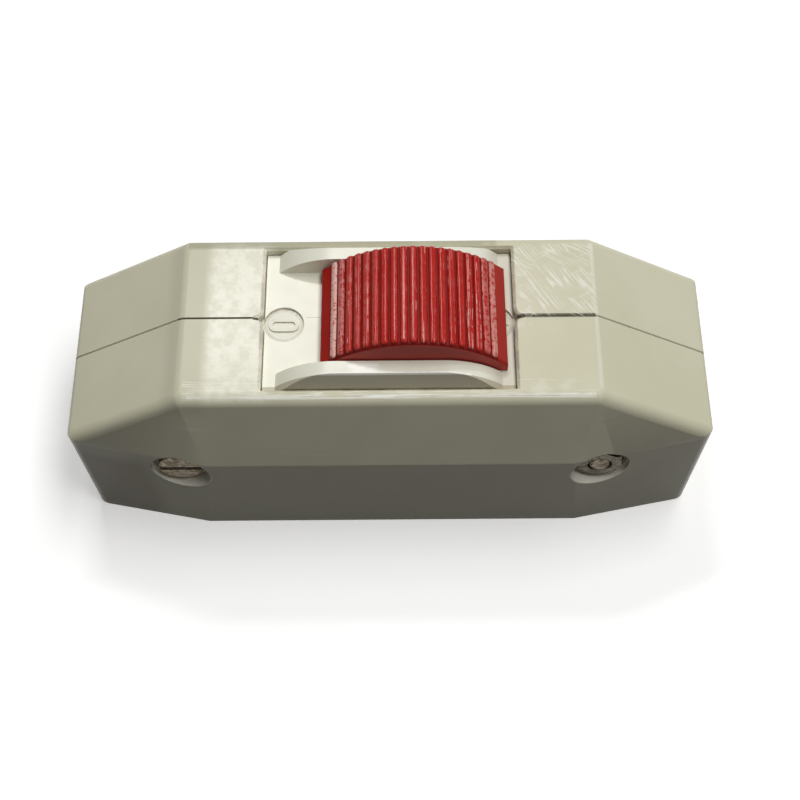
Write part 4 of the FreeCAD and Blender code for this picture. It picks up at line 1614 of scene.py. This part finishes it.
@dataclass
class Studio:
    """Pale floor, a large light overhead, a small one behind, a white surround.

    The floor and the surround show white, but throw little light on the switch,
    so that its walls stay as dark under the crease as they are in the photograph.

    Attributes:
        floor_size: Length and width of the floor in metres.
        floor_depth: Thickness of the floor in metres.
        floor_rounding: Rounding of its edges in metres.
        floor_colour: Its sRGB colour for the light that it throws back.
        seen_floor: Its linear grey where it is looked at.
        floor_glow: White light that it adds where it is looked at.
        surround: Strength of the surround's light.
        lights: The lights.
    """

    floor_size: float = 4.0
    floor_depth: float = 0.02
    floor_rounding: float = 0.005
    floor_colour: str = "#35322B"
    seen_floor: float = 0.9
    floor_glow: float = 0.35
    surround: float = 0.07
    lights: tuple[Softbox, ...] = (
        Softbox("overhead softbox", (0.24, 0.035, 0.78), (0.7, 0.24), 4.3),
        Softbox("rear softbox", (-0.075, 0.36, 0.60), (0.17, 0.05), 1.05))

    def direct_view(self, tree: bpy.types.NodeTree) -> Socket:
        """Tell the rays that should see plain white: camera, glossy and transmission.

        Args:
            tree: Node tree that asks.

        Returns:
            1 for those rays and 0 for the others.
        """
        path = add_node(tree, "LightPath")
        total = worked(tree, "ADD", path.outputs["Is Camera Ray"], path.outputs["Is Glossy Ray"])
        return worked(tree, "ADD", total, path.outputs["Is Transmission Ray"], clamp=True)

    def world(self) -> None:
        """Weak even light, white where it is looked at."""
        result = bpy.data.worlds.new("plain studio")
        result.use_nodes = True
        tree = result.node_tree
        tree.nodes.clear()
        strength = worked(tree, "MULTIPLY_ADD", self.direct_view(tree), 1.0 - self.surround,
                          self.surround)
        light = add_node(tree, "Background", {"Color": (1.0, 1.0, 1.0, 1.0)},
                         {"Strength": strength})
        add_node(tree, "OutputWorld", {}, {"Surface": light.outputs[0]})
        bpy.context.scene.world = result

    def floor(self) -> None:
        """Wide plate with rounded edges that shows white and takes the shadow."""
        half = self.floor_size / 2
        obj = block("studio_floor", (-half, -half, -self.floor_depth), (half, half, 0.0))
        softened(obj, self.floor_rounding, segments=3)
        finish = bpy.data.materials.new("matt paper backdrop")
        finish.use_nodes = True
        tree = finish.node_tree
        tree.nodes.clear()
        paper = add_node(tree, "BsdfDiffuse", {"Color": linear(self.floor_colour)})
        grey = (self.seen_floor, self.seen_floor, self.seen_floor, 1.0)
        seen = add_node(tree, "BsdfDiffuse", {"Color": grey})
        mixed = add_node(tree, "MixShader", {},
                         {0: self.direct_view(tree), 1: paper.outputs[0], 2: seen.outputs[0]})
        strength = worked(tree, "MULTIPLY", self.direct_view(tree), self.floor_glow)
        glow = add_node(tree, "Emission", {"Color": (1.0, 1.0, 1.0, 1.0)},
                        {"Strength": strength})
        total = add_node(tree, "AddShader", {}, {0: mixed.outputs[0], 1: glow.outputs[0]})
        add_node(tree, "OutputMaterial", {}, {"Surface": total.outputs[0]})
        obj.data.materials.clear()
        obj.data.materials.append(finish)

    def build(self) -> None:
        """Set the surround, the floor and the lights."""
        self.world()
        self.floor()
        for light in self.lights:
            light.build()
        bpy.context.scene.view_settings.view_transform = "Standard"


@dataclass
class PhotoCamera:
    """Camera at the photograph's viewing angle.

    Attributes:
        place: Place in metres.
        look_down: Angle under the horizon in degrees.
        turn: Turn to the left in degrees.
        roll: Roll about the line of sight in degrees.
        lens: Focal length in millimetres.
        sensor: Width of the sensor in millimetres.
        nearest: Least distance that it sees, in metres.
        farthest: Largest distance that it sees, in metres.
    """

    place: tuple[float, float, float] = (0.002252, -0.107994, 0.203692)
    look_down: float = 61.203
    turn: float = 0.460
    roll: float = -0.861
    lens: float = 66.577
    sensor: float = 36.0
    nearest: float = 0.01
    farthest: float = 20.0

    def build(self) -> None:
        """Place the camera and make it the scene's."""
        data = bpy.data.cameras.new("photo camera")
        data.lens = self.lens
        data.sensor_width = self.sensor
        data.clip_start = self.nearest
        data.clip_end = self.farthest
        obj = bpy.data.objects.new("photo camera", data)
        obj.matrix_world = (Matrix.Translation(self.place)
                            @ Matrix.Rotation(math.radians(self.turn), 4, "Z")
                            @ Matrix.Rotation(math.radians(90.0 - self.look_down), 4, "X")
                            @ Matrix.Rotation(math.radians(self.roll), 4, "Z"))
        bpy.context.scene.collection.objects.link(obj)
        bpy.context.scene.camera = obj


def main() -> None:
    """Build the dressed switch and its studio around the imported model."""
    logging.basicConfig(level=logging.INFO, format="%(name)s: %(message)s")
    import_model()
    PhotoCamera().build()
    dresser = Dresser(FINISHES)
    for part in (HousingShells(), SwitchModule(), ThumbSlider(), HousingFasteners(),
                 SwitchContacts(), CordClamps()):
        part.build(dresser)
    Studio().build()


if __name__ == "__main__":
    main()
